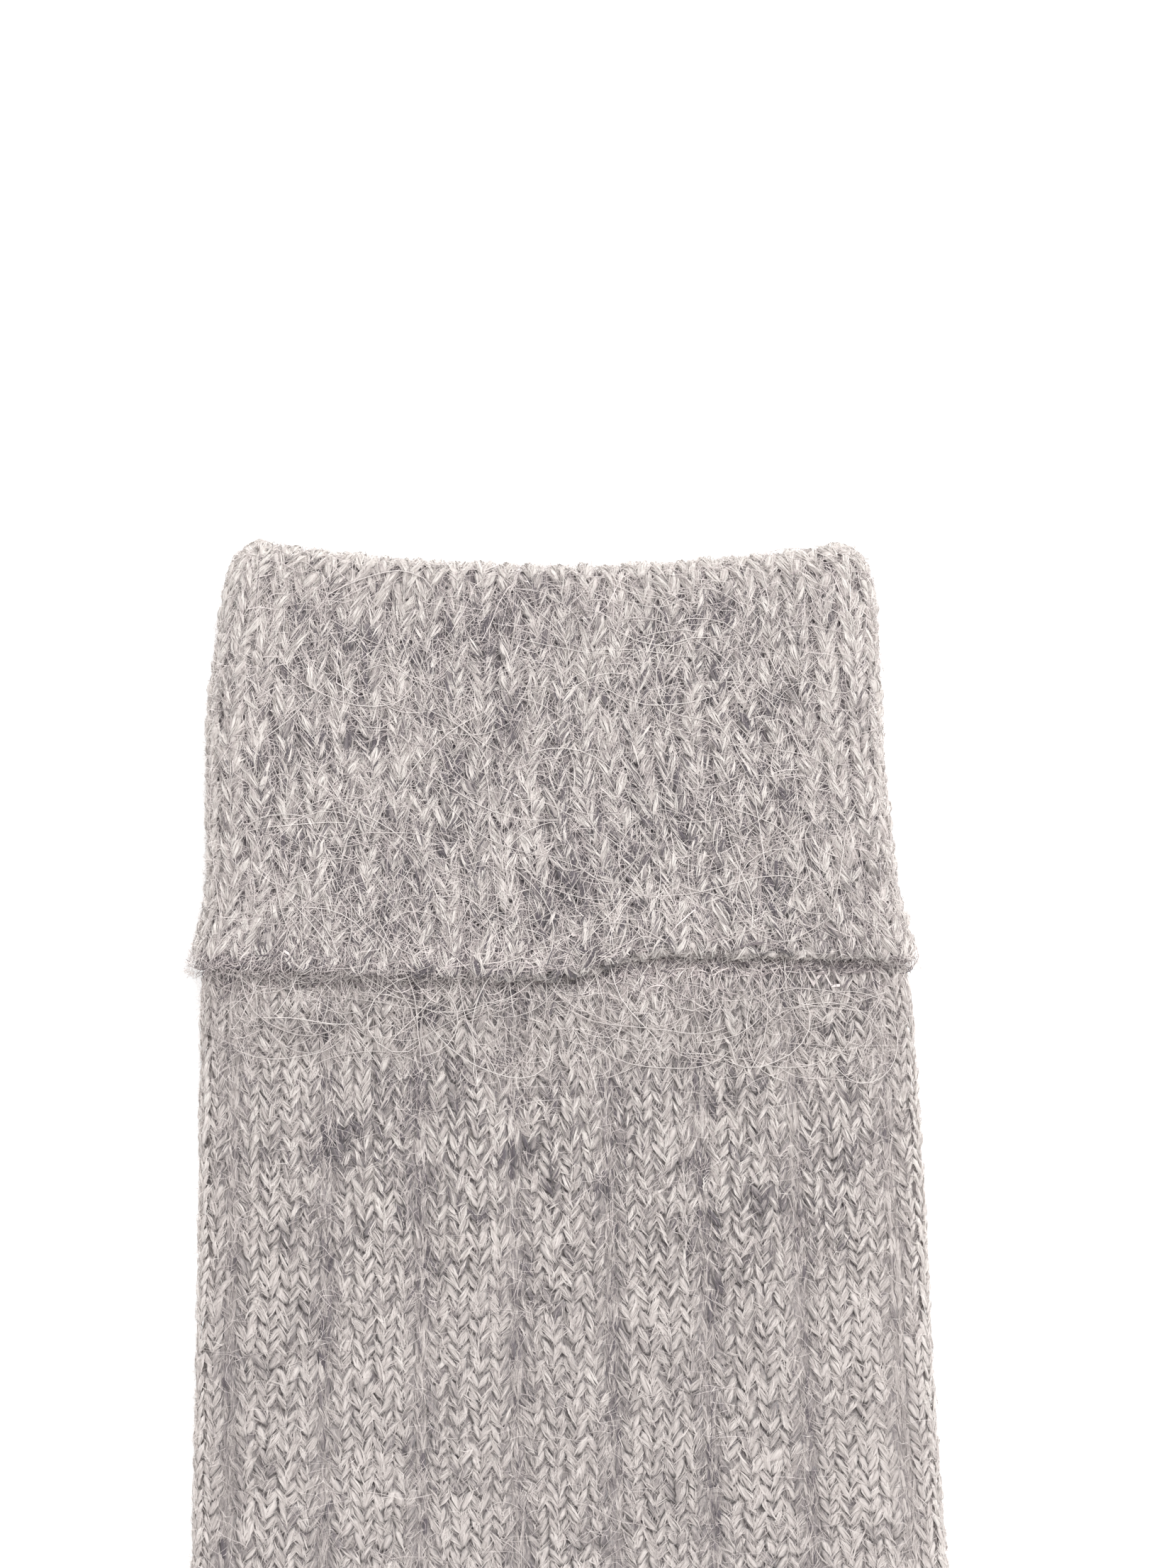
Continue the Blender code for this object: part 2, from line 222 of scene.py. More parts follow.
def between_rows(rows, steps):
    """Rows of a table, and smooth cubic curves through them, at places counted in rows."""
    table = np.array(rows)
    last = len(table) - 1
    steps = np.clip(np.asarray(steps, float), 0, last)
    index = np.minimum(steps.astype(int), last - 1)
    share = (steps - index)[..., None]
    p0 = table[np.maximum(index - 1, 0)]
    p1 = table[index]
    p2 = table[index + 1]
    p3 = table[np.minimum(index + 2, last)]
    bend = 2 * p0 - 5 * p1 + 4 * p2 - p3
    twist = 3 * p1 - p0 - 3 * p2 + p3
    return p1 + 0.5 * share * ((p2 - p0) + share * (bend + share * twist))


def read_table(rows, places):
    """The columns of a table at places along its first column."""
    keys = np.array([row[0] for row in rows])
    steps = np.interp(places, keys, np.arange(len(rows)))
    return between_rows([row[1:] for row in rows], steps)


def bell(distance, reach):
    """1 at no distance, and less with it: about a third at the reach."""
    return np.exp(-(distance / reach) ** 2)


def unit(vectors, least=0.0):
    """Vectors of length 1. A least length, far below any real one, keeps a nought from dividing."""
    return vectors / (np.linalg.norm(vectors, axis=-1)[..., None] + least)


def fold_sag(across, depth):
    """How far the fold lies above its plan: it sags in the middle and rises at both ends."""
    out = np.minimum(np.abs(across) / FOLD_HALF_WIDTH, 1.0)
    return (1 - ease(depth, 0.0, SAG_DEPTH)) * (FOLD_RISE - FOLD_SAG * (1 - out ** 2))


def hem_rise(across, depth):
    """How far the wavy hem pulls the cuff up, growing from the fold to the hem."""
    rise = read_table(HEM_RISE, across)[..., 0]
    return np.where(depth > DROP_START, 0.0, rise * (np.maximum(depth, 0) / CUFF_DEPTH) ** 2)


# Soft dents of the top panel: x, y, half length, half width, direction in degrees, depth
DENTS = (
    (-20.0, -92.0, 20.0, 7.0, 8.0, 0.35),
    (26.0, -118.0, 26.0, 8.0, -12.0, 0.3),
    (8.0, -30.0, 18.0, 6.0, 20.0, 0.3),
    (-30.0, -44.0, 14.0, 6.0, -15.0, 0.25),
    (34.0, -16.0, 12.0, 5.0, 35.0, 0.25),
    (50.0, -176.0, 15.0, 2.6, -25.0, 0.9),
    (44.0, -186.0, 21.0, 3.0, -38.0, 1.0),
    (48.0, -197.0, 17.0, 2.8, -55.0, 0.8),
    (30.0, -172.0, 18.0, 3.4, -8.0, 0.6),
    (-30.0, -200.0, 19.0, 5.0, 62.0, 0.5),
    (60.0, -246.0, 26.0, 6.0, -40.0, 0.4),
    (112.0, -262.0, 22.0, 7.0, -20.0, 0.4),
)


def dent_depth(x, y):
    """How deep the top panel is pressed in at a place, by its soft dents and the creases at the ankle."""
    total = np.zeros_like(x)
    for middle_x, middle_y, half_length, half_width, degrees, depth in DENTS:
        angle = math.radians(degrees)
        along = (x - middle_x) * math.cos(angle) + (y - middle_y) * math.sin(angle)
        aside = (y - middle_y) * math.cos(angle) - (x - middle_x) * math.sin(angle)
        total += depth * np.exp(-(along / half_length) ** 2 - (aside / half_width) ** 2)
    return total


class Knit:
    """The outer face of a flattened tube, as a fine grid: stations along it, and steps around it.

    Around runs from 0 at the back edge, over the top panel to 0.5 at the front edge, and back along the
    underside. Each quarter of a turned edge takes the same share of it all along.
    """

    def __init__(self, back, front, under, height, inset, quarter):
        self.quarter = quarter
        self.back = back
        self.front = front
        self.inset = inset
        self.width = np.linalg.norm(front - back, axis=1) - 2 * inset
        self.half_height = height / 2 - inset
        self.turn = np.minimum(np.maximum(self.half_height, SHORTEST_TURN), 0.45 * self.width)
        around = np.arange(AROUND_STEPS) / AROUND_STEPS
        self.points = self.lay(around[None, :], under)
        self.measure()

    def lay(self, around, under):
        """Points of the outline at each station, lifted by what lies under it."""
        q = self.quarter
        width = self.width[:, None]
        turn = self.turn[:, None]
        inset = np.broadcast_to(np.asarray(self.inset, float), self.width.shape)[:, None]
        right = math.pi / 2 * (1 - (around - (0.5 - q)) / q)
        left = math.pi - math.pi / 2 * np.where(around > 0.5, around - 1, around) / q
        on_right = (around > 0.5 - q) & (around < 0.5 + q)
        on_left = (around < q) | (around > 1 - q)
        on_top = (around >= q) & (around <= 0.5 - q)
        share = np.where(on_top, (around - q) / (0.5 - 2 * q), 1 - (around - 0.5 - q) / (0.5 - 2 * q))
        angle = np.where(on_right, right, np.where(on_left, left, np.where(on_top, 0.5, -0.5) * math.pi))
        along = turn + (width - 2 * turn) * share
        along = np.where(on_right, width - turn + turn * np.cos(right), along)
        along = np.where(on_left, turn + turn * np.cos(left), along)
        rise = np.sin(angle)
        upward = np.maximum(rise, 0.0)
        crown = CROWN * upward * (1 - (2 * along / width - 1) ** 2)
        level = under[:, None] + inset + self.half_height[:, None] * (1 + rise) + crown
        across = unit(self.front - self.back)
        x = self.back[:, 0:1] + across[:, 0:1] * (along + inset)
        y = self.back[:, 1:2] + across[:, 1:2] * (along + inset)
        shifted = y + fold_sag(x, -y) + hem_rise(x, -y)
        level = level - dent_depth(x, y) * upward
        return np.stack([x, shifted, level], axis=-1)

    def measure(self):
        """Normals, and the cloth's lengths from point to point and from the first station."""
        along = np.gradient(self.points, axis=0)
        around = np.roll(self.points, -1, axis=1) - np.roll(self.points, 1, axis=1)
        self.normals = unit(np.cross(along, around), 1e-12)
        self.steps_along = np.linalg.norm(np.diff(self.points, axis=0), axis=-1)
        self.steps_around = np.linalg.norm(np.roll(self.points, -1, axis=1) - self.points, axis=-1)
        self.lengths = np.vstack([np.zeros(AROUND_STEPS), np.cumsum(self.steps_along, axis=0)])

    def sample(self, grid, around, station):
        """A grid's values at places between its points."""
        column = np.mod(around, 1.0) * AROUND_STEPS
        j0 = np.floor(column).astype(int) % AROUND_STEPS
        j1 = (j0 + 1) % AROUND_STEPS
        v = (column - np.floor(column))[..., None]
        station = np.clip(station, 0, len(grid) - 1.001)
        i0 = station.astype(int)
        u = (station - i0)[..., None]
        near = grid[i0, j0] * (1 - v) + grid[i0, j1] * v
        far = grid[i0 + 1, j0] * (1 - v) + grid[i0 + 1, j1] * v
        return near * (1 - u) + far * u

    def place(self, around, station, height):
        """Points at a height above the face, in metres in the frame of the solids."""
        spots = self.sample(self.points, around, station)
        normals = unit(self.sample(self.normals, around, station))
        return to_frame(spots + normals * height[..., None])

    def station_at(self, around, length):
        """The station at a length of cloth along a column, counted from the knit's first station."""
        stations = np.arange(len(self.points), dtype=float)
        return np.interp(length, self.length_at(around, stations), stations)

    def length_at(self, around, station):
        """The length of cloth along a column, from the knit's first station to others."""
        return self.sample(self.lengths[..., None], np.full(len(station), around), station)[:, 0]


def to_frame(points):
    """Millimetres on the plan to metres in the frame of the solids."""
    moved = np.array(points)
    moved[..., 0] -= ORIGIN[0]
    moved[..., 1] -= ORIGIN[1]
    moved[..., 2] = np.maximum(moved[..., 2], LOWEST)
    return moved * METRES


def quarter_share(height, width):
    """The share of a flattened tube's way round that one quarter of a turned edge takes."""
    arc = math.pi * height / 4
    return arc / (2 * (width - height) + 4 * arc)


CUFF_QUARTER = quarter_share(CUFF_HEIGHT, CUFF_OUTLINE[-1][2] - CUFF_OUTLINE[-1][1])
LEG_QUARTER = quarter_share(LEG_HEIGHT, LEG_WIDTH)


def cuff_path():
    """Depth and inset along the cuff's outer face: out of the mouth, over the fold, down, round the hem."""
    hem_radius = WALL / 2
    hem_centre = CUFF_DEPTH - hem_radius
    fold = np.radians(np.arange(FOLD_TURN, 180, FOLD_TURN))
    hem = np.radians(HEM_TURN * np.arange(1, HEM_ROWS + 1))
    down = np.arange(FOLD_RADIUS, hem_centre + 0.1, CUFF_STEP)
    depth = np.concatenate([
        np.linspace(TURN_IN, FOLD_RADIUS, MOUTH_ROWS),
        FOLD_RADIUS * (1 - np.sin(fold)),
        down,
        hem_centre + hem_radius * np.sin(hem),
    ])
    inset = np.concatenate([
        np.full(MOUTH_ROWS, 2 * FOLD_RADIUS),
        FOLD_RADIUS * (1 + np.cos(fold)),
        np.zeros(len(down)),
        hem_radius * (1 - np.cos(hem)),
    ])
    return depth, inset


def knit_cuff():
    """The cuff's outer face, from inside the mouth to under the hem."""
    depth, inset = cuff_path()
    edges = read_table(CUFF_OUTLINE, depth)
    back = np.stack([edges[:, 0], -depth], axis=1)
    front = np.stack([edges[:, 1], -depth], axis=1)
    return Knit(back, front, np.zeros(len(depth)), np.full(len(depth), CUFF_HEIGHT), inset, CUFF_QUARTER)


def knit_leg():
    """The leg from under the cuff, the foot and the toe, with its ribs and the station of its toe."""
    steps = np.linspace(0, len(SECTIONS) - 1, (len(SECTIONS) - 1) * STATIONS_PER_SECTION + 1)
    rows = between_rows(SECTIONS, steps)
    back, front = rows[:, 0:2], rows[:, 2:4]
    under = LEG_INSET * (1 - ease(-back[:, 1], DROP_START, DROP_END))
    height = 2 * WALL + rows[:, 4]
    ribs = rows[:, 5:7]
    across = unit(front[-1] - back[-1])
    forward = np.array([across[1], -across[0]])
    share = TOE_SEAM_SHARE * np.sin(math.pi / 2 * np.arange(1, TOE_STATIONS + 1) / TOE_STATIONS)
    narrowing = (1 - share ** TOE_POWER) ** (1 / TOE_POWER)
    half = np.linalg.norm(front[-1] - back[-1]) / 2 * narrowing
    middle = (front[-1] + back[-1]) / 2 + forward * (share * TOE_LENGTH)[:, None]
    toe_back = middle - across * half[:, None]
    toe_front = middle + across * half[:, None]
    toe_height = height[-1] * (1 - (1 - TOE_SEAM_HEIGHT) * share ** 3)
    toe_under = np.zeros(TOE_STATIONS)
    for ahead, narrower, lower in TOE_CLOSING:
        centre = middle[-1] + forward * ahead
        toe_back = np.vstack([toe_back, centre - across * half[-1] * narrower])
        toe_front = np.vstack([toe_front, centre + across * half[-1] * narrower])
        toe_height = np.append(toe_height, toe_height[TOE_STATIONS - 1] * lower)
        toe_under = np.append(toe_under, toe_height[TOE_STATIONS - 1] * (1 - lower) / 2)
    knit = Knit(np.vstack([back, toe_back]), np.vstack([front, toe_front]),
                np.concatenate([under, toe_under]), np.concatenate([height, toe_height]), 0.0, LEG_QUARTER)
    knit.ribs = np.vstack([ribs, np.zeros((len(toe_back), 2))])
    knit.toe_start = len(back) - 1
    return knit


# ---------------------------------------------------------------- meshes from arrays

def template(make):
    """Corners and triangles of a small shape that bmesh makes, to be laid many times."""
    mesh = bmesh.new()
    make(mesh)
    bmesh.ops.triangulate(mesh, faces=mesh.faces)
    mesh.verts.index_update()
    corners = np.array([vert.co[:] for vert in mesh.verts])
    faces = np.array([[vert.index for vert in face.verts] for face in mesh.faces])
    mesh.free()
    return corners, faces


def spindle(sides, rings):
    """A yarn limb: a ball of few sides with its poles along y, to be stretched and bent."""
    def make(mesh):
        bmesh.ops.create_uvsphere(mesh, u_segments=sides, v_segments=rings, radius=1.0)
        bmesh.ops.rotate(mesh, verts=mesh.verts, matrix=Matrix.Rotation(math.radians(-90), 3, "X"))
    return template(make)


def new_piece(name, mesh, material):
    """An object at the origin with its mesh and material, shaded smooth, in the scene."""
    mesh.shade_smooth()
    mesh.materials.append(material)
    piece = bpy.data.objects.new(name, mesh)
    bpy.context.scene.collection.objects.link(piece)
    return piece


def joined_mesh(name, corners, faces, material, attributes):
    """One object of many copies of a template: corners is copies by points by 3."""
    copies, count = corners.shape[:2]
    points = corners.reshape(-1, 3)
    triangles = (faces[None] + (np.arange(copies) * count)[:, None, None]).reshape(-1, 3)
    mesh = bpy.data.meshes.new(name)
    mesh.vertices.add(len(points))
    mesh.vertices.foreach_set("co", points.astype(np.float32).ravel())
    mesh.loops.add(triangles.size)
    mesh.loops.foreach_set("vertex_index", triangles.astype(np.int32).ravel())
    mesh.polygons.add(len(triangles))
    mesh.polygons.foreach_set("loop_start", np.arange(0, triangles.size, 3, dtype=np.int32))
    mesh.update(calc_edges=True)
    for label, values in attributes.items():
        kind = "FLOAT_VECTOR" if values.shape[-1] == 3 else "FLOAT"
        field = "vector" if kind == "FLOAT_VECTOR" else "value"
        layer = mesh.attributes.new(label, kind, "POINT")
        layer.data.foreach_set(field, values.reshape(-1).astype(np.float32))
    return new_piece(name, mesh, material)


# ---------------------------------------------------------------- materials

# Tones from dark to pale, and the colour at each
YARN_TONES = ((0.36, "#645D62"), (0.50, "#A09896"), (0.60, "#BFB7B3"), (0.76, "#D4CCC8"), (1.02, "#DED8D3"))
# the inner layer is the yarn, painted darker grey as the shade between the stitches; darkest in the cuff
INSIDE_TONES = ((0.30, "#686268"), (0.5, "#968F8E"), (0.72, "#BFB8B4"))
CUFF_INSIDE_TONES = ((0.30, "#48434B"), (0.5, "#766F71"), (0.72, "#A29B99"))
WOOL_TONES = ((0.0, "#5E575C"), (0.35, "#AA9F9E"), (1.0, "#EFE6E3"))
ALPACA_TONES = ((0.0, "#C6BBB8"), (1.0, "#F6EFEB"))
FLOOR_TONES = ((0.3, "#F8F8F8"), (0.7, "#FBFBFB"))


def linear(hex_colour):
    """A colour written as sRGB hex, as the linear values that a shader takes."""
    values = [int(hex_colour[i:i + 2], 16) / 255 for i in (1, 3, 5)]
    return [v / 12.92 if v <= 0.04045 else ((v + 0.055) / 1.055) ** 2.4 for v in values] + [1.0]


def add_node(tree, kind, settings=(), links=()):
    """A node with its settings, by attribute or by socket, and its inputs linked to other sockets."""
    node = tree.nodes.new(kind)
    for key, value in dict(settings).items():
        if isinstance(key, str) and hasattr(node, key):
            setattr(node, key, value)
        else:
            node.inputs[key].default_value = value
    for key, socket in dict(links).items():
        tree.links.new(socket, node.inputs[key])
    return node


def new_material(name, roughness, sheen, sheen_roughness, sheen_tint):
    """A material with its shader set for rough, dull wool, and the sheen of the fibres that stand off it."""
    material = bpy.data.materials.new(name)
    material.use_nodes = True
    shader = material.node_tree.nodes["Principled BSDF"]
    shader.inputs["Roughness"].default_value = roughness
    shader.inputs["Sheen Weight"].default_value = sheen
    shader.inputs["Sheen Roughness"].default_value = sheen_roughness
    shader.inputs["Sheen Tint"].default_value = linear(sheen_tint)
    shader.inputs["Specular IOR Level"].default_value = 0.2
    return material, material.node_tree, shader


def colour_by(tree, shader, factor, stops):
    """Colours the surface by a tone, through a ramp of stops."""
    ramp = add_node(tree, "ShaderNodeValToRGB", links={"Fac": factor})
    elements = ramp.color_ramp.elements
    for index, (place, colour) in enumerate(stops):
        element = elements[index] if index < 2 else elements.new(place)
        element.position = place
        element.color = linear(colour)
    tree.links.new(ramp.outputs["Color"], shader.inputs["Base Color"])


def bump_by(tree, shader, height, strength, distance):
    """Raises and sinks the surface by a height, over a distance in metres."""
    bump = add_node(tree, "ShaderNodeBump", {"Strength": strength, "Distance": distance}, {"Height": height})
    tree.links.new(bump.outputs["Normal"], shader.inputs["Normal"])


def yarn_material():
    """Brushed wool and alpaca yarn: fine fibres of cream, grey and near-black wool lie side by side.

    The eye sees light and dark streaks along each limb of a stitch, 1.8 mm long and 0.24 mm wide, with
    finer flecks between. The fibre attribute is in millimetres. A fibre is drawn 0.12 mm wide, coarser than
    the real one, so that it shows.
    """
    material, tree, shader = new_material("brushed_wool_alpaca_yarn", 0.92, 0.35, 0.6, "#FFFFFF")
    place = add_node(tree, "ShaderNodeAttribute", {"attribute_name": "fibre"})
    tone = add_node(tree, "ShaderNodeAttribute", {"attribute_name": "tone"})
    stretch = add_node(tree, "ShaderNodeMapping", {"Scale": (0.55, 4.2, 4.2)},
                       {"Vector": place.outputs["Vector"]})
    streaks = add_node(tree, "ShaderNodeTexNoise", {"Scale": 1.0, "Detail": 4.0, "Roughness": 0.72},
                       {"Vector": stretch.outputs["Vector"]})
    fine = add_node(tree, "ShaderNodeMapping", {"Scale": (1.1, 9.0, 9.0), "Location": (31.0, 17.0, 5.0)},
                    {"Vector": place.outputs["Vector"]})
    flecks = add_node(tree, "ShaderNodeTexNoise", {"Scale": 1.0, "Detail": 2.0, "Roughness": 0.6},
                      {"Vector": fine.outputs["Vector"]})
    mixed = add_node(tree, "ShaderNodeMath", {"operation": "MULTIPLY_ADD", 1: 0.45},
                     {0: flecks.outputs["Fac"], 2: streaks.outputs["Fac"]})
    softer = add_node(tree, "ShaderNodeMath", {"operation": "MULTIPLY_ADD", 1: 0.45, 2: 0.40},
                      {0: mixed.outputs["Value"]})
    toned = add_node(tree, "ShaderNodeMath", {"operation": "ADD"},
                     {0: softer.outputs["Value"], 1: tone.outputs["Fac"]})
    colour_by(tree, shader, toned.outputs["Value"], YARN_TONES)
    bump_by(tree, shader, mixed.outputs["Value"], 0.55, 0.00012)
    return material


def backing_material(name, stops):
    """The matted inner side of the same knit, seen only between the stitches, its grey painted darker than
    the yarn as the shade there.

    Its streaks are 0.3 mm wide and 1.1 mm long, as the yarn's fibres lie.
    """
    material, tree, shader = new_material(name, 0.95, 0.2, 0.6, "#D8D2CC")
    place = add_node(tree, "ShaderNodeTexCoord")
    stretch = add_node(tree, "ShaderNodeMapping", {"Scale": (3500.0, 900.0, 2500.0)},
                       {"Vector": place.outputs["Object"]})
    fibres = add_node(tree, "ShaderNodeTexNoise", {"Scale": 1.0, "Detail": 4.0, "Roughness": 0.7},
                      {"Vector": stretch.outputs["Vector"]})
    colour_by(tree, shader, fibres.outputs["Fac"], stops)
    bump_by(tree, shader, fibres.outputs["Fac"], 0.6, 0.0002)
    return material


def fibre_material(name, stops, roughness):
    """Loose fibres that stand out of the yarn. Each has one tone, from near-black wool to pale alpaca."""
    material, tree, shader = new_material(name, roughness, 0.3, 0.4, "#FFFFFF")
    tone = add_node(tree, "ShaderNodeAttribute", {"attribute_name": "tone"})
    colour_by(tree, shader, tone.outputs["Fac"], stops)
    return material


def floor_material():
    """White acrylic, lit from below: the photo's surface has no shadow, and the wool's edges glow."""
    material, tree, shader = new_material("white_acrylic_light_table", 0.9, 0.0, 0.5, "#FFFFFF")
    shader.inputs["Emission Color"].default_value = linear("#FFFFFF")
    shader.inputs["Emission Strength"].default_value = 0.45
    place = add_node(tree, "ShaderNodeTexCoord")
    grain = add_node(tree, "ShaderNodeTexNoise", {"Scale": 400.0, "Detail": 2.0},
                     {"Vector": place.outputs["Object"]})
    colour_by(tree, shader, grain.outputs["Fac"], FLOOR_TONES)
    return material


# ---------------------------------------------------------------- stitches

def patches(spots, cell):
    """Smooth random patches over the plan, about cell millimetres across, as values round 0."""
    waves = np.random.default_rng(int(cell * 10))
    total = np.zeros(len(spots))
    for _ in range(PATCH_WAVES):
        angle = waves.uniform(0, 2 * math.pi)
        number = 2 * math.pi / (cell * waves.uniform(1.3, 3.2))
        face = waves.uniform(0, 6) * (spots[:, 2] < UNDER_FACE)
        along = spots[:, 0] * math.cos(angle) + spots[:, 1] * math.sin(angle)
        total += np.cos(number * along + waves.uniform(0, 2 * math.pi) + face)
    return total * math.sqrt(2 / PATCH_WAVES)


def run_of_tones(rows, columns, reach, spread):
    """Tones of the yarn along rows of stitches: it changes slowly along a row, and a little by row."""
    keep = math.exp(-1 / reach)
    tones = np.zeros((rows, columns))
    value = dice.normal(0, 1, rows)
    for column in range(columns):
        value = keep * value + math.sqrt(1 - keep * keep) * dice.normal(0, 1, rows)
        tones[:, column] = value
    tones += 0.5 * dice.normal(0, 1, (rows, 1))
    return spread * tones


class Limbs:
    """The yarn of one column of stitches: two limbs to a stitch, tips down, and the fibres round them.

    around gives the column's place at a station, station_of turns a length of cloth into a station, rows
    are the lengths at which the stitches sit, and width is the column's share of the way round.
    """

    def __init__(self, knit, around, station_of, rows, pitch, width, style, tones):
        self.knit, self.around, self.station_of = knit, around, station_of
        self.pitch, self.width, self.style = pitch, width, style
        self.count = len(rows) * 2
        self.side = np.tile([-1.0, 1.0], len(rows))
        self.row = np.repeat(rows, 2)
        self.tone_limbs(np.repeat(tones, 2))
        self.shift_aside = self.jitter("aside")
        self.shift_along = self.jitter("along")
        self.longer = self.jitter("length")
        self.wider = style["spread"] * (1 + self.jitter("spread"))
        self.thick = style["thick"] * (1 + self.jitter("thick"))
        self.lift = style["height"] + self.jitter("lift")
        self.slope = style["spread"] * style["width_mm"] / ((style["low"] + style["high"]) * pitch)

    def jitter(self, kind):
        return self.style["jitter"] * dice.normal(0, JITTER[kind], self.count)

    def tone_limbs(self, tone):
        """Each limb's tone, with its painted light and shade, how many speckles it may have, and how light or
        dark they are at its place.
        """
        style = self.style
        tone = tone + dice.normal(0, style["mottle"], self.count)
        station = self.station_of(self.row)
        around = self.around(station)
        spots = self.knit.sample(self.knit.points, around, station)
        depth = -spots[:, 1]
        lower = ease(depth, LOWER_START, LOWER_END)
        fold = bell(depth, FOLD_REACH)
        from_back = np.mod(around + 0.5, 1.0) - 0.5
        back = bell(from_back * style["round_mm"], SIDE_REACH)
        front = bell((0.5 - np.abs(from_back)) * style["round_mm"], SIDE_REACH)
        edges = FOLD_CALM * np.maximum(fold, SIDE_CALM_SHARE * (front + back))
        speckle = np.maximum(1 - LOWER_CALM * lower - edges, LEAST_SPECKLE)
        spotted = sum(weight * patches(spots, cell) for cell, weight in PATCHES)
        spotted = speckle * (spotted - CLUSTER * np.maximum(-spotted - 1.0, 0.0))
        # turned: how far a face leans from facing up; EDGE_LIGHT paints light on it, as the lamps light it
        # less
        turned = 1 - np.clip(self.knit.sample(self.knit.normals, around, station)[:, 2], 0, 1)
        # patches of the yarn's own tone, and painted shade on a rib's outer limbs beside the furrow
        tone = tone + style["patch"] * spotted + style["outer"] * self.side
        # painted shadow along the cuff's hem, on its edge and on the leg just below it
        tone = tone - HEM_SHADE * bell(depth - CUFF_DEPTH, HEM_REACH)
        # painted light on faces that lean away from the lamps; the lower leg is made a little darker
        tone = tone + EDGE_LIGHT * turned - LOWER_SHADE * lower
        # painted light at the fold and near the front and back edges, and a faint painted shade near the
        # leg's back edge
        tone = tone + style["base"] + FOLD_LIGHT * fold + style["front"] * front + style["back"] * back
        tone = np.where(dice.random(self.count) < style["dark_limbs"], tone - DARK_LIMB_SHADE, tone)
        self.tone, self.speckle, self.spotted = tone, speckle, spotted

    def spot(self, index, t, x, z):
        """Points of the limbs: t runs along one from its tip, x across it and z out of it, in millimetres."""
        style, side = self.style, self.side[index]
        held = np.maximum(t, 0.0)
        opened = self.wider[index] * (held ** 0.85 + np.minimum(t, 0.0))
        aside = side * (style["tip"] + opened) + self.shift_aside[index]
        reach = style["low"] + style["high"] + self.longer[index]
        along = style["low"] - reach * t + self.shift_along[index]
        rise = self.lift[index] + style["arch"] * np.sin(math.pi * (0.12 + 0.76 * t))
        station = self.station_of(self.row[index] + along * self.pitch + x * side * self.slope * 0.6)
        around = self.around(station) + aside * self.width + x / style["round_mm"]
        return self.knit.place(around, station, rise + z)

    def cores(self):
        """The body of each limb, with the fibre attribute along it, and its tone."""
        style = self.style
        corners, _ = style["core"]
        t = np.broadcast_to((corners[:, 1] + 1) / 2, (self.count, len(corners)))
        swell = np.power(np.maximum(1 - corners[:, 1] ** 2, 1e-6), style["fullness"] / 2 - 0.5)
        x = corners[:, 0] * swell * self.thick[:, None]
        z = corners[:, 2] * swell * self.thick[:, None] * style["flatness"]
        seed = dice.uniform(0, 90, (3, self.count, 1))
        fibre = np.stack([t * style["reach_mm"] + seed[0], x + seed[1], z + seed[2]], axis=-1)
        # core_tone darkens a fibred limb's core as painted shade under its fibres, and sets a plain limb's
        # tone
        tone = np.repeat(self.tone + style["core_tone"] * self.speckle, len(corners))
        return self.spot(np.arange(self.count)[:, None], t, x, z), fibre, tone

    def locks(self):
        """The fibres wrapped round the limbs, in locks of about one place and tone, and their tones."""
        style = self.style
        strip, _ = NEEDLE
        total = self.count * style["fibres"]
        locks = total // LOCK
        index = np.repeat(np.arange(self.count), style["fibres"])[:, None]

        def by_lock(values, spread):
            return np.repeat(values, LOCK, axis=0) + dice.normal(0, spread, (total,) + values.shape[1:])

        start = by_lock(dice.uniform(*LOCK_START, (locks, 1)), LOCK_RAGGED)
        end = start + by_lock(dice.uniform(*LOCK_LENGTH, (locks, 1)), LOCK_RAGGED)
        phi = np.clip(by_lock(dice.uniform(*LOCK_AROUND, (locks, 1)) * math.pi, LOCK_FAN), 0.05, 3.1)
        s = strip[:, 1][None]
        t = start + (end - start) * s
        swell = np.power(np.maximum(1 - (2 * t - 1) ** 2, 0.12), style["fullness"] / 2)
        radius = self.thick[index] * swell
        stray = style["stray"] * by_lock(dice.standard_t(3, (locks, 2, 1)) * 0.5, 0.12)
        splay = stray[:, 0] * (s - 0.25) + 0.25 * stray[:, 1] * np.sin(math.pi * s * 1.5)
        loft = np.abs(by_lock(dice.normal(0, style["loft"], (locks, 1)), 0.02)) * (0.4 + s * s)
        half = style["fibre_mm"] * dice.uniform(0.7, 1.3, (total, 1))
        edge = strip[:, 0][None] * half
        x = style["wide"] * radius * np.cos(phi) + splay - np.sin(phi) * edge
        z = (radius + 0.03) * (0.35 + 0.65 * np.sin(phi)) * style["flatness"]
        z = z + loft + style["turn"] * np.cos(phi) * edge
        dark = dice.random(locks) < style["dark_locks"] - style["fleck"] * self.spotted[index[::LOCK, 0]]
        tone = np.where(dark, -style["dark"], style["light"]) + dice.normal(0, style["locks"], locks)
        speckle = self.speckle[index]
        shade = self.tone[index] + speckle * by_lock(tone, style["heather"])[:, None]
        # painted shade on the fibres at a limb's sides and ends, in the gaps and junctions between limbs
        shade = shade - style["rim"] * np.abs(np.cos(phi)) ** 3
        shade = shade - speckle * style["ends"] * np.minimum(np.abs(2 * t - 1), 1.1) ** 4
        return self.spot(index, t, x, z), shade.ravel()


def lay_limbs(yarn, *column):
    """Adds one column of stitches to a yarn."""
    limbs = Limbs(*column)
    yarn["faces"] = limbs.style["core"][1]
    yarn["cores"].append(limbs.cores())
    if limbs.style["fibres"]:
        yarn["fibres"].append(limbs.locks())


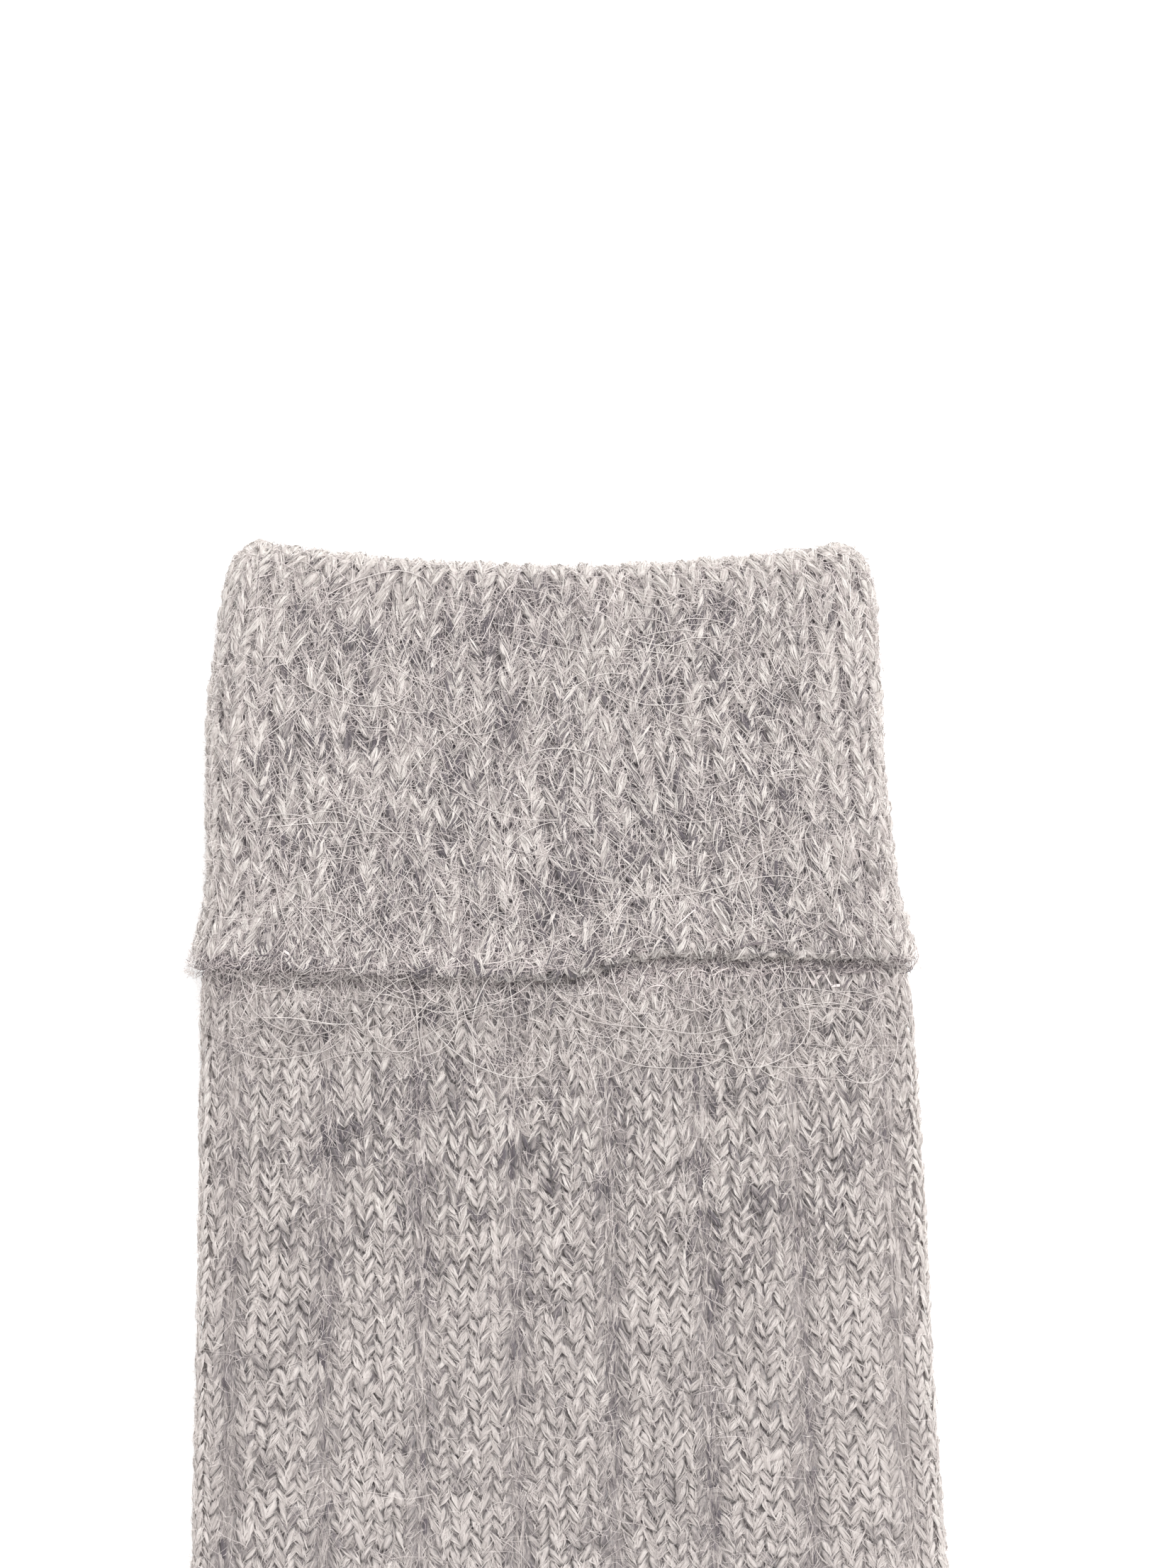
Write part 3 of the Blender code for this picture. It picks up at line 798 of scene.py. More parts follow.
def needle():
    """A fibre as a long diamond along y from 0 to 1, two units wide at its middle, that bends there."""
    def make(mesh):
        bmesh.ops.create_circle(mesh, cap_ends=True, segments=4, radius=0.5)
        bmesh.ops.scale(mesh, verts=mesh.verts, vec=(0.1, 1, 1))
        bmesh.ops.triangulate(mesh, faces=mesh.faces, quad_method="SHORT_EDGE")
        bmesh.ops.scale(mesh, verts=mesh.verts, vec=(20, 1, 1))
        bmesh.ops.translate(mesh, verts=mesh.verts, vec=(0, 0.5, 0))
    return template(make)


def ribbon(steps):
    """A flat strip along y from 0 to 1, one unit wide."""
    def make(mesh):
        bmesh.ops.create_grid(mesh, x_segments=1, y_segments=steps, size=0.5)
        bmesh.ops.translate(mesh, verts=mesh.verts, vec=(0, 0.5, 0))
    return template(make)


# Fibres of a limb lie in locks of this many. A lock starts and ends along its limb, in shares of it, and
# lies round it, in shares of half a turn. Its fibres differ from each other by the last two.
LOCK = 4
LOCK_START = (-0.25, 0.4)
LOCK_LENGTH = (0.55, 1.0)
LOCK_AROUND = (0.05, 0.95)
LOCK_RAGGED = 0.07
LOCK_FAN = 0.11

FINE_LIMB = spindle(4, 3)
ROUGH_LIMB = spindle(4, 2)
NEEDLE = needle()

# A stitch. Its limbs start at the tip and spread, in shares of a column, and run from low to high, in
# shares of a row. Millimetres: thick is a limb's radius, height its level over the face, arch its rise,
# width_mm a column, round_mm the way round, reach_mm a limb's length, fibre_mm half a fibre's width, and
# stray and loft how far fibres leave their limb. Each limb has so many fibres, spread over it as wide says
# and turned out of the face as turn says. A limb or a lock is dark by chance, and fleck ties dark locks to
# the patches. The other values are tones and their spreads: of whole limbs first, then of their fibres.
# Some tones are painted light and shade: front and back paint light near the edges (back a faint shade on
# the leg), outer paints shade beside a furrow, core_tone darkens a fibred limb's core as shade under its
# fibres and sets a plain limb's tone, and rim and ends paint shade on the fibres at a limb's sides and
# ends, in the gaps and junctions between limbs.
CUFF_STITCH = {
    "core": FINE_LIMB, "tip": 0.0, "spread": 0.40, "low": 0.72, "high": 0.93, "thick": 0.70,
    "flatness": 0.78, "fullness": 0.8, "height": -0.95, "arch": 0.52, "width_mm": 4.1, "round_mm": 212.0,
    "reach_mm": 3.6, "jitter": 1.35, "fibres": 32, "stray": 0.55, "loft": 0.17, "fibre_mm": 0.062,
    "wide": 1.2, "turn": 1.0, "dark_limbs": 0.05, "dark_locks": 0.21, "fleck": 0.105,
    "base": 0.048, "mottle": 0.035, "patch": 0.024, "outer": 0.0, "front": 0.12, "back": 0.14,
    "core_tone": -0.32, "dark": 0.44, "light": 0.155, "locks": 0.08, "heather": 0.07, "rim": 0.09,
    "ends": 0.07,
}
LEG_STITCH = {
    "core": FINE_LIMB, "tip": -0.03, "spread": 0.51, "low": 0.66, "high": 0.80, "thick": 0.48,
    "flatness": 0.62, "fullness": 0.8, "height": -0.70, "arch": 0.22, "width_mm": 2.85, "round_mm": 214.0,
    "reach_mm": 3.1, "jitter": 1.15, "fibres": 20, "stray": 0.75, "loft": 0.14, "fibre_mm": 0.062,
    "wide": 1.5, "turn": 1.0, "dark_limbs": 0.03, "dark_locks": 0.20, "fleck": 0.13,
    "base": 0.036, "mottle": 0.025, "patch": 0.028, "outer": 0.0, "front": 0.07, "back": -0.02,
    "core_tone": -0.2, "dark": 0.31, "light": 0.09, "locks": 0.06, "heather": 0.085, "rim": 0.0,
    "ends": 0.11,
}
LOWER_LIMB = {"thick": 0.5, "wide": 1.6, "stray": 0.95, "flatness": 0.5, "turn": 0.5}
PLAIN_LIMB = {"core": ROUGH_LIMB, "fibres": 0, "core_tone": 0.07, "mottle": 0.075, "patch": 0.06}
FOOT_LIMB = dict(PLAIN_LIMB, thick=0.56, flatness=0.5)
TOE_STITCH = dict(LEG_STITCH, width_mm=3.3, round_mm=185.0, **FOOT_LIMB)
PURL_STITCH = dict(
    LEG_STITCH, tip=0.10, spread=0.2, low=0.8, high=1.1, thick=0.56, height=-1.4, arch=0.2, width_mm=2.0,
    reach_mm=3.4, fibres=16)
FURROW_TONES = {"mottle": 0.06, "fleck": 0.08}

# A rib is round: its middle columns stand higher than its outer ones, which are painted darker on the
# outside, as shade beside the furrow.
# Where the ribs end, a furrow comes up to a little below the plain knit.
RIB_RISE = 0.14
RIB_FALL = 0.42
RIB_SHADE = 0.06
FURROW_SINK = 0.2


def cuff_sway(share, depth):
    """How far the cuff's ribs sway sideways, and lean over towards the hem at the front."""
    wave = np.sin(2 * math.pi * (depth / CUFF_SWAY_LENGTH + CUFF_SWAY_WAVES * share))
    lean = CUFF_LEAN * ease(depth, CUFF_LEAN_START, CUFF_DEPTH) * ease(share, *CUFF_LEAN_SHARES)
    return 4 * share * (1 - share) * (CUFF_SWAY * wave + lean)


def cuff_stitches(knit, material):
    """The cuff's 1 x 1 rib: wide columns on the raised part, the upper face and both edges, and plain ones
    underneath."""
    widest = CUFF_OUTLINE[-1][2] - CUFF_OUTLINE[-1][1]
    raised_length = math.pi * CUFF_HEIGHT + widest - CUFF_HEIGHT
    whole_round = 2 * (widest - CUFF_HEIGHT) + math.pi * CUFF_HEIGHT
    raised = raised_length / whole_round
    depth, _ = cuff_path()
    rows = np.arange(0.6, np.median(knit.lengths[-1]) - 0.8, CUFF_ROW)
    columns = CUFF_COLUMNS + CUFF_UNDER_COLUMNS
    tones = run_of_tones(len(rows), columns, reach=2.5, spread=0.02)
    stations = np.arange(len(depth), dtype=float)
    shown, hidden = new_yarn(), new_yarn()
    for column in range(columns):
        if column < CUFF_COLUMNS:
            share = (column + 0.5) / CUFF_COLUMNS
            middle = share * raised - CUFF_QUARTER + cuff_sway(share, depth) / whole_round
            width, style, yarn = raised / CUFF_COLUMNS, CUFF_STITCH, shown
        else:
            share = (column - CUFF_COLUMNS + 0.5) / CUFF_UNDER_COLUMNS
            middle = np.full(len(depth), raised - CUFF_QUARTER + (1 - raised) * share)
            width, style, yarn = (1 - raised) / CUFF_UNDER_COLUMNS, dict(CUFF_STITCH, **PLAIN_LIMB), hidden
        lay_limbs(
            yarn, knit,
            lambda station, middle=middle: np.interp(station, stations, middle),
            lambda length, start=middle[0]: knit.station_at(start, length),
            rows + dice.normal(0, CUFF_ROW_SHIFT), CUFF_ROW, width, style, tones[:, column])
    return [
        joined_cores("cuff_stitches_top", shown, material),
        joined_fibres("cuff_yarn_fibres", shown, material),
        joined_cores("cuff_stitches_under", hidden, material),
    ]


def new_yarn():
    return {"cores": [], "fibres": []}


def joined_cores(name, yarn, material):
    """One object of the limbs of many columns."""
    spots, fibre, tone = (np.concatenate(parts) for parts in zip(*yarn["cores"]))
    return joined_mesh(name, spots, yarn["faces"], material, {"fibre": fibre, "tone": tone[:, None]})


def joined_fibres(name, yarn, material):
    """One object of the fibres round the limbs of many columns."""
    spots, tone = (np.concatenate(parts) for parts in zip(*yarn["fibres"]))
    place = np.tile(NEEDLE[0] * (0.05, 3.0, 0.0), (len(spots), 1, 1))
    place = place + dice.uniform(0, 90, (len(spots), 1, 3))
    return joined_mesh(name, spots, NEEDLE[1], material, {"fibre": place, "tone": tone[:, None]})


def lay_straight(yarn, knit, middle, *column):
    """Adds a column of stitches that keeps its place round the knit."""
    lay_limbs(
        yarn, knit,
        lambda station: np.full(np.shape(station), middle),
        lambda length: knit.station_at(middle, length),
        *column)


def leg_columns():
    """Place, width and kind of each column round the leg: ribs of four, and a furrow between ribs."""
    columns = []
    for repeat in range(LEG_REPEATS):
        for place in (-1.5, -0.5, 0.5, 1.5):
            middle = (repeat + place * KNIT_COLUMN) / LEG_REPEATS
            columns.append((middle % 1.0, KNIT_COLUMN / LEG_REPEATS, place))
        columns.append(((repeat + 0.5) / LEG_REPEATS, PURL_COLUMN / LEG_REPEATS, None))
    return columns


def leg_style(place, ribbed, changes):
    """The stitch of a column of the leg, where a rib stands out fully at 1 and not at all at 0."""
    style = dict(PURL_STITCH if place is None else LEG_STITCH, **changes)
    both = np.repeat(ribbed, 2)
    if place is None:
        style.update(FURROW_TONES)
        style["height"] = style["height"] * both + (LEG_STITCH["height"] - FURROW_SINK) * (1 - both)
    else:
        style["height"] = style["height"] + RIB_RISE * both - RIB_FALL * both * (abs(place) / 1.5) ** 2
        # painted shade on the outer limb of a rib's outer columns, beside the furrow
        style["outer"] = -RIB_SHADE * both * np.sign(place) * (abs(place) > 1)
    return style


def leg_stitches(knit, material):
    """The 4 x 1 rib of the leg and the foot, wrapped in fibres where the photo shows them."""
    stations = np.arange(len(knit.points), dtype=float)
    columns = leg_columns()
    longest = int(knit.lengths[-1].max() / LEG_ROW) + 2
    tones = run_of_tones(longest, len(columns), reach=2.8, spread=0.025)
    yarns = {}
    for number, (middle, width, place) in enumerate(columns):
        top = middle < 0.5 + LEG_QUARTER or middle > 1 - LEG_QUARTER
        instep = abs(middle if middle < 0.5 else 1 - middle) > 0.25
        ends = knit.length_at(middle, np.array([0.0, knit.toe_start]))
        rows = np.arange(ends[0] + 0.5, ends[1] - 0.5, LEG_ROW) + dice.normal(0, LEG_ROW_SHIFT)
        station = knit.station_at(middle, rows)
        depth = -knit.sample(knit.points, np.full(len(rows), middle), station)[:, 1]
        ribbed = np.interp(station, stations, knit.ribs[:, 1] if instep else knit.ribs[:, 0])
        last = FRAMED_DEPTH + dice.uniform(-1.0, 9.0)
        sections = (
            ("leg_upper", {}, top & (depth < BRUSHED_DEPTH)),
            ("leg_lower", LOWER_LIMB, top & (depth >= BRUSHED_DEPTH) & (depth < last)),
            ("foot", FOOT_LIMB, top & (depth >= last)),
            ("leg_under", FOOT_LIMB, np.full(len(rows), not top)),
        )
        for label, changes, chosen in sections:
            if not chosen.any():
                continue
            share = ribbed[chosen] if top else np.zeros(chosen.sum())
            # painted shade in the furrow's recess, deeper where the ribs stand out
            furrow = PLAIN_FURROW_SHADE + (FURROW_SHADE - PLAIN_FURROW_SHADE) * share
            lay_straight(
                yarns.setdefault(label, new_yarn()), knit, middle, rows[chosen], LEG_ROW, width,
                leg_style(place, share, changes),
                tones[:len(rows), number][chosen] - (furrow if place is None else 0.0))
    pieces = [joined_cores(label + "_stitches", yarn, material) for label, yarn in yarns.items()]
    pieces += [joined_fibres(label + "_yarn_fibres", yarn, material)
               for label, yarn in yarns.items() if yarn["fibres"]]
    return pieces


def toe_stitches(knit, material):
    """The toe's plain knit: its columns narrow up to the seam at the tip."""
    tones = run_of_tones(MOST_TOE_ROWS, TOE_COLUMNS, reach=2.8, spread=0.025)
    yarn = new_yarn()
    for column in range(TOE_COLUMNS):
        middle = (column + 0.5) / TOE_COLUMNS
        ends = knit.length_at(middle, np.array([knit.toe_start, len(knit.points) - 1.01]))
        rows = np.arange(ends[0] + 0.5, ends[1] + 0.4, LEG_ROW) + dice.normal(0, LEG_ROW_SHIFT)
        lay_straight(yarn, knit, middle, rows, LEG_ROW, 1 / TOE_COLUMNS, TOE_STITCH,
                     tones[:len(rows), column])
    return joined_cores("toe_stitches", yarn, material)


# ---------------------------------------------------------------- the layer under the stitches

def backing(name, knit, first, last, steps_along, steps_around, wall_mm, material, seamed=False):
    """A sheet of knit rolled into the tube, a little inside its face, and given a thickness inwards.

    A seamed sheet's last edge is pressed flat, so that its upper and lower halves join there.
    """
    mesh = bmesh.new()
    bmesh.ops.create_grid(mesh, x_segments=steps_around, y_segments=steps_along, size=0.5)
    mesh.verts.ensure_lookup_table()
    flat = np.array([vert.co[:] for vert in mesh.verts])
    station = first + (flat[:, 1] + 0.5) * (last - first)
    room = np.interp(station, np.arange(len(knit.points)), knit.half_height)
    rolled = knit.place(flat[:, 0] + 0.5, station, -np.minimum(BACKING_DEPTH, 0.45 * room))
    if seamed:
        at_seam = station > last - 0.001
        rolled[at_seam, 2] = rolled[at_seam, 2].mean()
    for vert, spot in zip(mesh.verts, rolled):
        vert.co = spot
    bmesh.ops.remove_doubles(mesh, verts=mesh.verts, dist=0.00001)
    bmesh.ops.recalc_face_normals(mesh, faces=mesh.faces)
    highest = max(mesh.faces, key=lambda face: face.calc_center_median().z)
    if highest.normal.z < 0:
        bmesh.ops.reverse_faces(mesh, faces=mesh.faces)
    data = bpy.data.meshes.new(name)
    mesh.to_mesh(data)
    mesh.free()
    piece = new_piece(name, data, material)
    wall = piece.modifiers.new("wall", "SOLIDIFY")
    wall.thickness = wall_mm * METRES
    wall.offset = -1.0
    return piece


# ---------------------------------------------------------------- loose fibres

def scatter(knit, count, weight):
    """Random places spread over a knit's face, by area times a weight of place."""
    area = knit.steps_along * knit.steps_around[:-1]
    area = area * weight(knit.points[:-1], knit.normals[:-1])
    chance = (area / area.sum()).ravel()
    cells = dice.choice(len(chance), count, p=chance)
    station = cells // AROUND_STEPS + dice.random(count)
    place = (cells % AROUND_STEPS + dice.random(count)) / AROUND_STEPS
    return place, station


# Loose fibres along the cloth, in millimetres: the shape and scale of the spread of their lengths and of
# their lifts off it, their least length, their least and greatest width (half of it for a needle), how
# much they curl, and how much their directions differ from those of the limbs
FUZZ = {"shape": NEEDLE, "length": (4, 0.3), "least": 0.6, "width": (0.036, 0.036), "lift": (2.5, 0.09),
        "curl": 0.3, "spread": 0.35}
LEG_FUZZ = dict(FUZZ, length=(4, 0.28), lift=(2.5, 0.08))
CURLS = {"shape": ribbon(4), "length": (5, 0.8), "least": 1.0, "width": (0.035, 0.075), "lift": (2.0, 0.22),
         "curl": 0.5, "spread": 0.9}
LEG_CURLS = dict(CURLS, length=(5, 0.7), width=(0.04, 0.04), lift=(2.0, 0.17))
HALO = {"shape": NEEDLE, "length": (4, 0.3), "least": 0.5, "width": (0.034, 0.034), "lift": (2.0, 0.32),
        "curl": 0.4, "spread": 1.2}
LIMB_LEAN = 0.45


def loose_fibres(name, knit, count, weight, style, material, tones):
    """Curved fibres that start in the yarn and lie over it, along the face of the cloth."""
    corners, faces = style["shape"]
    length = dice.gamma(*style["length"], count) + style["least"]
    narrow, wide = style["width"]
    width = dice.uniform(narrow, wide, count) if narrow < wide else np.full(count, narrow)
    lift = dice.gamma(*style["lift"], count)
    tone = np.broadcast_to(tones(count)[:, None, None], (count, len(corners), 1))
    place, station = scatter(knit, count, weight)
    around_mm = knit.steps_around.sum(axis=1)
    around_mm = np.interp(station, np.arange(len(around_mm)), around_mm)[:, None]
    spacing = knit.steps_along.mean(axis=1)
    along_mm = np.interp(station, np.arange(len(spacing)) + 0.5, spacing)[:, None]
    angle = dice.choice([-1, 1], (count, 1)) * LIMB_LEAN + dice.normal(0, style["spread"], (count, 1))
    angle = angle + dice.choice([0, math.pi], (count, 1))
    bend = dice.normal(0, style["curl"], (count, 1))
    wave = dice.normal(0, 0.35 * style["curl"], (count, 1))
    phase = dice.uniform(0, 6, (count, 1))
    t = corners[:, 1][None]
    run = length[:, None] * t
    aside = length[:, None] * (bend * t * t + wave * np.sin(5 * t + phase))
    aside = aside + corners[:, 0][None] * width[:, None]
    across = run * np.sin(angle) + aside * np.cos(angle)
    ahead = run * np.cos(angle) - aside * np.sin(angle)
    # a fibre starts a little down in the yarn, rises fast and levels off
    height = -0.4 + (lift[:, None] + 0.3) * (1.7 * t - 0.7 * t * t)
    spots = knit.place(place[:, None] + across / around_mm, station[:, None] + ahead / along_mm, height)
    return joined_mesh(name, spots, faces, material, {"tone": tone})


def top_height(pieces):
    """Looks down on the pieces: a function that gives their height at places of the plan."""
    graph = bpy.context.evaluated_depsgraph_get()
    trees = [BVHTree.FromObject(piece, graph) for piece in pieces]

    def look(x, y):
        heights = np.full(len(x), np.nan)
        for index in range(len(x)):
            start = Vector(((x[index] - ORIGIN[0]) * METRES, (y[index] - ORIGIN[1]) * METRES, 0.1))
            hits = [tree.ray_cast(start, Vector((0, 0, -1)))[0] for tree in trees]
            found = [hit.z for hit in hits if hit is not None]
            if found:
                heights[index] = max(found) / METRES
        return heights
    return look


def hair_paths(starts, lengths, steps, bend, inside):
    """Wandering paths on the plan. Each is drawn again, a few times, until it stays on the sock."""
    count = len(lengths)
    step = lengths / steps
    paths = np.full((count, steps + 1, 2), np.nan)
    left = np.arange(count)
    for _ in range(HAIR_TRIES):
        heading = dice.uniform(0, 2 * math.pi, len(left))
        drift = dice.normal(0, bend, len(left))
        turning = drift.copy()
        spot = starts[left].copy()
        tried = [spot]
        for _ in range(steps):
            turning = drift + 0.85 * (turning - drift) + 0.5 * dice.normal(0, bend, len(left))
            heading = heading + turning * step[left]
            spot = spot + step[left][:, None] * np.stack([np.cos(heading), np.sin(heading)], axis=1)
            tried.append(spot)
        tried = np.stack(tried, axis=1)
        good = inside(tried[..., 0], tried[..., 1]).all(axis=1)
        paths[left[good]] = tried[good]
        left = left[~good]
    return paths, step


def long_hairs(name, starts, style, look, inside, material, tones):
    """Wavy hairs that lie loosely over the knit, on paths that wander. Those that leave it are left out."""
    corners, faces = style["shape"]
    count = len(starts)
    lengths = dice.uniform(*style["length"], count)
    thickness = dice.uniform(*style["thick"], count)
    heights = dice.uniform(*style["height"], count)
    tone = tones(count)
    steps = int(np.rint(1 / np.min(corners[corners[:, 2] > 0.001, 2])))
    path, step = hair_paths(starts, lengths, steps, style["bend"], inside)
    kept = ~np.isnan(path).any(axis=(1, 2))
    path, step, heights = path[kept], step[kept], heights[kept]
    thickness, tone = thickness[kept], tone[kept]
    count = len(path)
    ground = look(path[..., 0].ravel(), path[..., 1].ravel()).reshape(count, steps + 1)
    for index in range(1, steps + 1):
        lost = np.isnan(ground[:, index])
        ground[lost, index] = ground[lost, index - 1] - 0.5 * step[lost]
    ground = np.where(np.isnan(ground), 4.0, ground)
    for _ in range(HAIR_SMOOTHINGS):
        padded = np.pad(ground, ((0, 0), (1, 1)), mode="edge")
        smooth = (padded[:, :-2] + 2 * padded[:, 1:-1] + padded[:, 2:]) / 4
        ground = np.maximum(smooth, ground - HAIR_SINK)
    t = np.linspace(0, 1, steps + 1)[None]
    wave = np.sin(t * dice.uniform(3, 8, (count, 1)) + dice.uniform(0, 6, (count, 1)))
    lift = heights[:, None] * (0.5 + 0.5 * wave) * np.minimum(t * 5, 1)
    level = ground + BACKING_DEPTH - HAIR_DIP + lift
    level[:, 0] -= ROOT_SINK
    centre = np.concatenate([path, level[..., None]], axis=-1)
    ahead = unit(np.gradient(centre, axis=1), 1e-9)
    aside = unit(np.cross(ahead, np.array([0.0, 0.0, 1.0])), 1e-9)
    above = np.cross(aside, ahead)
    ring = np.rint(corners[:, 2] * steps).astype(int)
    taper = (np.minimum(1 - t[0], 0.25) * 4) ** 0.5 * 0.85 + 0.15
    radius = thickness[:, None] * taper[ring][None]
    spots = centre[:, ring] + aside[:, ring] * (corners[:, 0][None] * radius)[..., None]
    spots = spots + above[:, ring] * (corners[:, 1][None] * radius)[..., None]
    tone = np.broadcast_to(tone[:, None, None], (count, len(corners), 1))
    return joined_mesh(name, to_frame(spots), faces, material, {"tone": tone})


def outline_test(knits, margin):
    """A function that tells whether places of the plan lie on the sock, or within a margin of its edges."""
    points = np.concatenate([knit.points.reshape(-1, 3) for knit in knits])
    levels = np.arange(-SOCK_LENGTH, 5, 1.0)
    nearest = np.clip(np.rint(points[:, 1] + SOCK_LENGTH).astype(int), 0, len(levels) - 1)
    left, right = np.full(len(levels), 1e6), np.full(len(levels), -1e6)
    np.minimum.at(left, nearest, points[:, 0])
    np.maximum.at(right, nearest, points[:, 0])

    def inside(x, y):
        near = (x > np.interp(y, levels, left) - margin) & (x < np.interp(y, levels, right) + margin)
        return near & (y < fold_sag(x, np.zeros_like(x)) + margin)
    return inside


def flat_hair(steps):
    """A flat strand along z from 0 to 1."""
    def make(mesh):
        bmesh.ops.create_grid(mesh, x_segments=1, y_segments=steps, size=0.5)
        for vert in mesh.verts:
            vert.co = (vert.co.x, 0, vert.co.y + 0.5)
    return template(make)


def round_hair(steps):
    """A three-sided strand along z from 0 to 1, closed at both ends."""
    def make(mesh):
        bmesh.ops.create_circle(mesh, cap_ends=True, segments=3, radius=0.5)
        bmesh.ops.reverse_faces(mesh, faces=mesh.faces)
        last = mesh.faces[:]
        for _ in range(steps):
            out = bmesh.ops.extrude_face_region(mesh, geom=last)
            moved = [item for item in out["geom"] if isinstance(item, bmesh.types.BMVert)]
            last = [item for item in out["geom"] if isinstance(item, bmesh.types.BMFace)]
            bmesh.ops.translate(mesh, verts=moved, vec=(0, 0, 1 / steps))
            mesh.faces.ensure_lookup_table()
        bmesh.ops.recalc_face_normals(mesh, faces=mesh.faces)
    return template(make)


# Single hairs, in millimetres: their lengths, thicknesses and heights over the knit, and how they bend
LONG_HAIR = {"shape": round_hair(16), "length": (12, 42), "thick": (0.10, 0.16), "height": (0.2, 0.9),
             "bend": 0.085}
FINE_HAIR = {"shape": flat_hair(9), "length": (5, 20), "thick": (0.035, 0.06), "height": (0.05, 0.6),
             "bend": 0.24}
WISP = {"shape": flat_hair(5), "length": (2.0, 6.5), "thick": (0.07, 0.15), "height": (0.0, 0.35),
        "bend": 0.3}


def hair_roots(count):
    """Places on the plan where hairs start: most on the cuff, and fewer and fewer down the leg."""
    on_cuff = dice.random(count) < CUFF_HAIR_SHARE
    depth = np.where(on_cuff, dice.uniform(0.5, 66, count), 62 + 85 * dice.random(count) ** 1.5)
    return np.stack([dice.uniform(-49, 50, count), -depth], axis=1)


def wisp_roots(count):
    """Places on the plan just above the hem, all along it."""
    return np.stack([dice.uniform(-52, 51, count), -dice.normal(60.3, 1.2, count)], axis=1)


def cuff_share(points, normals):
    """The share of loose fibres at places of the cuff: few underneath."""
    return np.clip(normals[..., 2] + 0.75, 0.02, 1.0)


def leg_share(points, normals):
    """The share of loose fibres at places of the leg and foot: fewer below the brushed part."""
    return cuff_share(points, normals) * (1 - 0.45 * ease(-points[..., 1], 78, 112))


def edge_share(points, normals):
    """Fibres only round the turned edges."""
    return np.where(normals[..., 2] < 0.75, 1.0, 0.02) * np.where(normals[..., 2] > -0.5, 1.0, 0.0)


def even_tones(lowest, span):
    """Draws tones spread evenly over a span."""
    return lambda count: lowest + span * dice.random(count)


def curl_tones(count):
    """Most curls are pale, and about one in five is dark."""
    pale = 0.4 + 0.58 * dice.random(count)
    return np.where(dice.random(count) < 0.2, 0.25 * dice.random(count), pale)


def wisp_tones(count):
    """Most wisps are dark: dark fibres, which also deepen the painted shadow along the hem line."""
    return 0.9 * dice.random(count) ** 1.8


def loose_wool(cuff, leg, ground):
    """All the fibres that have come loose from the yarn, over a ground of pieces that they lie on."""
    wool = fibre_material("loose_wool_fibres", WOOL_TONES, 0.8)
    alpaca = fibre_material("alpaca_guard_hair", ALPACA_TONES, 0.6)
    look = top_height(ground)
    inside = outline_test((cuff, leg), 0.8)
    pale = even_tones(0.5, 0.5)
    return [
        loose_fibres("cuff_fuzz", cuff, 7000, cuff_share, FUZZ, wool, even_tones(0.25, 0.55)),
        loose_fibres("cuff_curls", cuff, 8500, cuff_share, CURLS, wool, curl_tones),
        loose_fibres("leg_fuzz", leg, 24000, leg_share, LEG_FUZZ, wool, even_tones(0.3, 0.45)),
        loose_fibres("leg_curls", leg, 9500, leg_share, LEG_CURLS, wool, curl_tones),
        long_hairs("long_hairs", hair_roots(460), LONG_HAIR, look, inside, alpaca, pale),
        long_hairs("fine_hairs", hair_roots(1700), FINE_HAIR, look, inside, alpaca, even_tones(0.0, 0.8)),
        long_hairs("hem_wisps", wisp_roots(1400), WISP, look, inside, wool, wisp_tones),
        loose_fibres("cuff_halo", cuff, 9000, edge_share, HALO, alpaca, pale),
        loose_fibres("leg_halo", leg, 14000, edge_share, HALO, alpaca, pale),
    ]


# ---------------------------------------------------------------- camera, light and floor

def plan_of_pixel(column, row):
    x = (column - ZERO_PIXEL[0]) * MM_PER_PIXEL - ORIGIN[0]
    y = -(row - ZERO_PIXEL[1]) * MM_PER_PIXEL - ORIGIN[1]
    return x * METRES, y * METRES


def add_camera():
    """Straight above the sock, with a long lens, framed as the photo is."""
    data = bpy.data.cameras.new("camera")
    frame_height = PHOTO_HEIGHT * MM_PER_PIXEL * METRES
    data.sensor_width = SENSOR
    data.lens = SENSOR * CAMERA_HEIGHT / frame_height
    data.clip_start = 0.1
    data.clip_end = 20.0
    camera = bpy.data.objects.new("camera", data)
    x, y = plan_of_pixel(PHOTO_WIDTH / 2, PHOTO_HEIGHT / 2)
    camera.location = (x, y, CAMERA_HEIGHT)
    bpy.context.scene.collection.objects.link(camera)
    bpy.context.scene.camera = camera


def add_light(name, place, size, power, target):
    data = bpy.data.lights.new(name, "AREA")
    data.shape = "DISK"
    data.size = size
    data.energy = power
    light = bpy.data.objects.new(name, data)
    light.location = place
    light.rotation_euler = (Vector(target) - Vector(place)).to_track_quat("-Z", "Y").to_euler()
    bpy.context.scene.collection.objects.link(light)


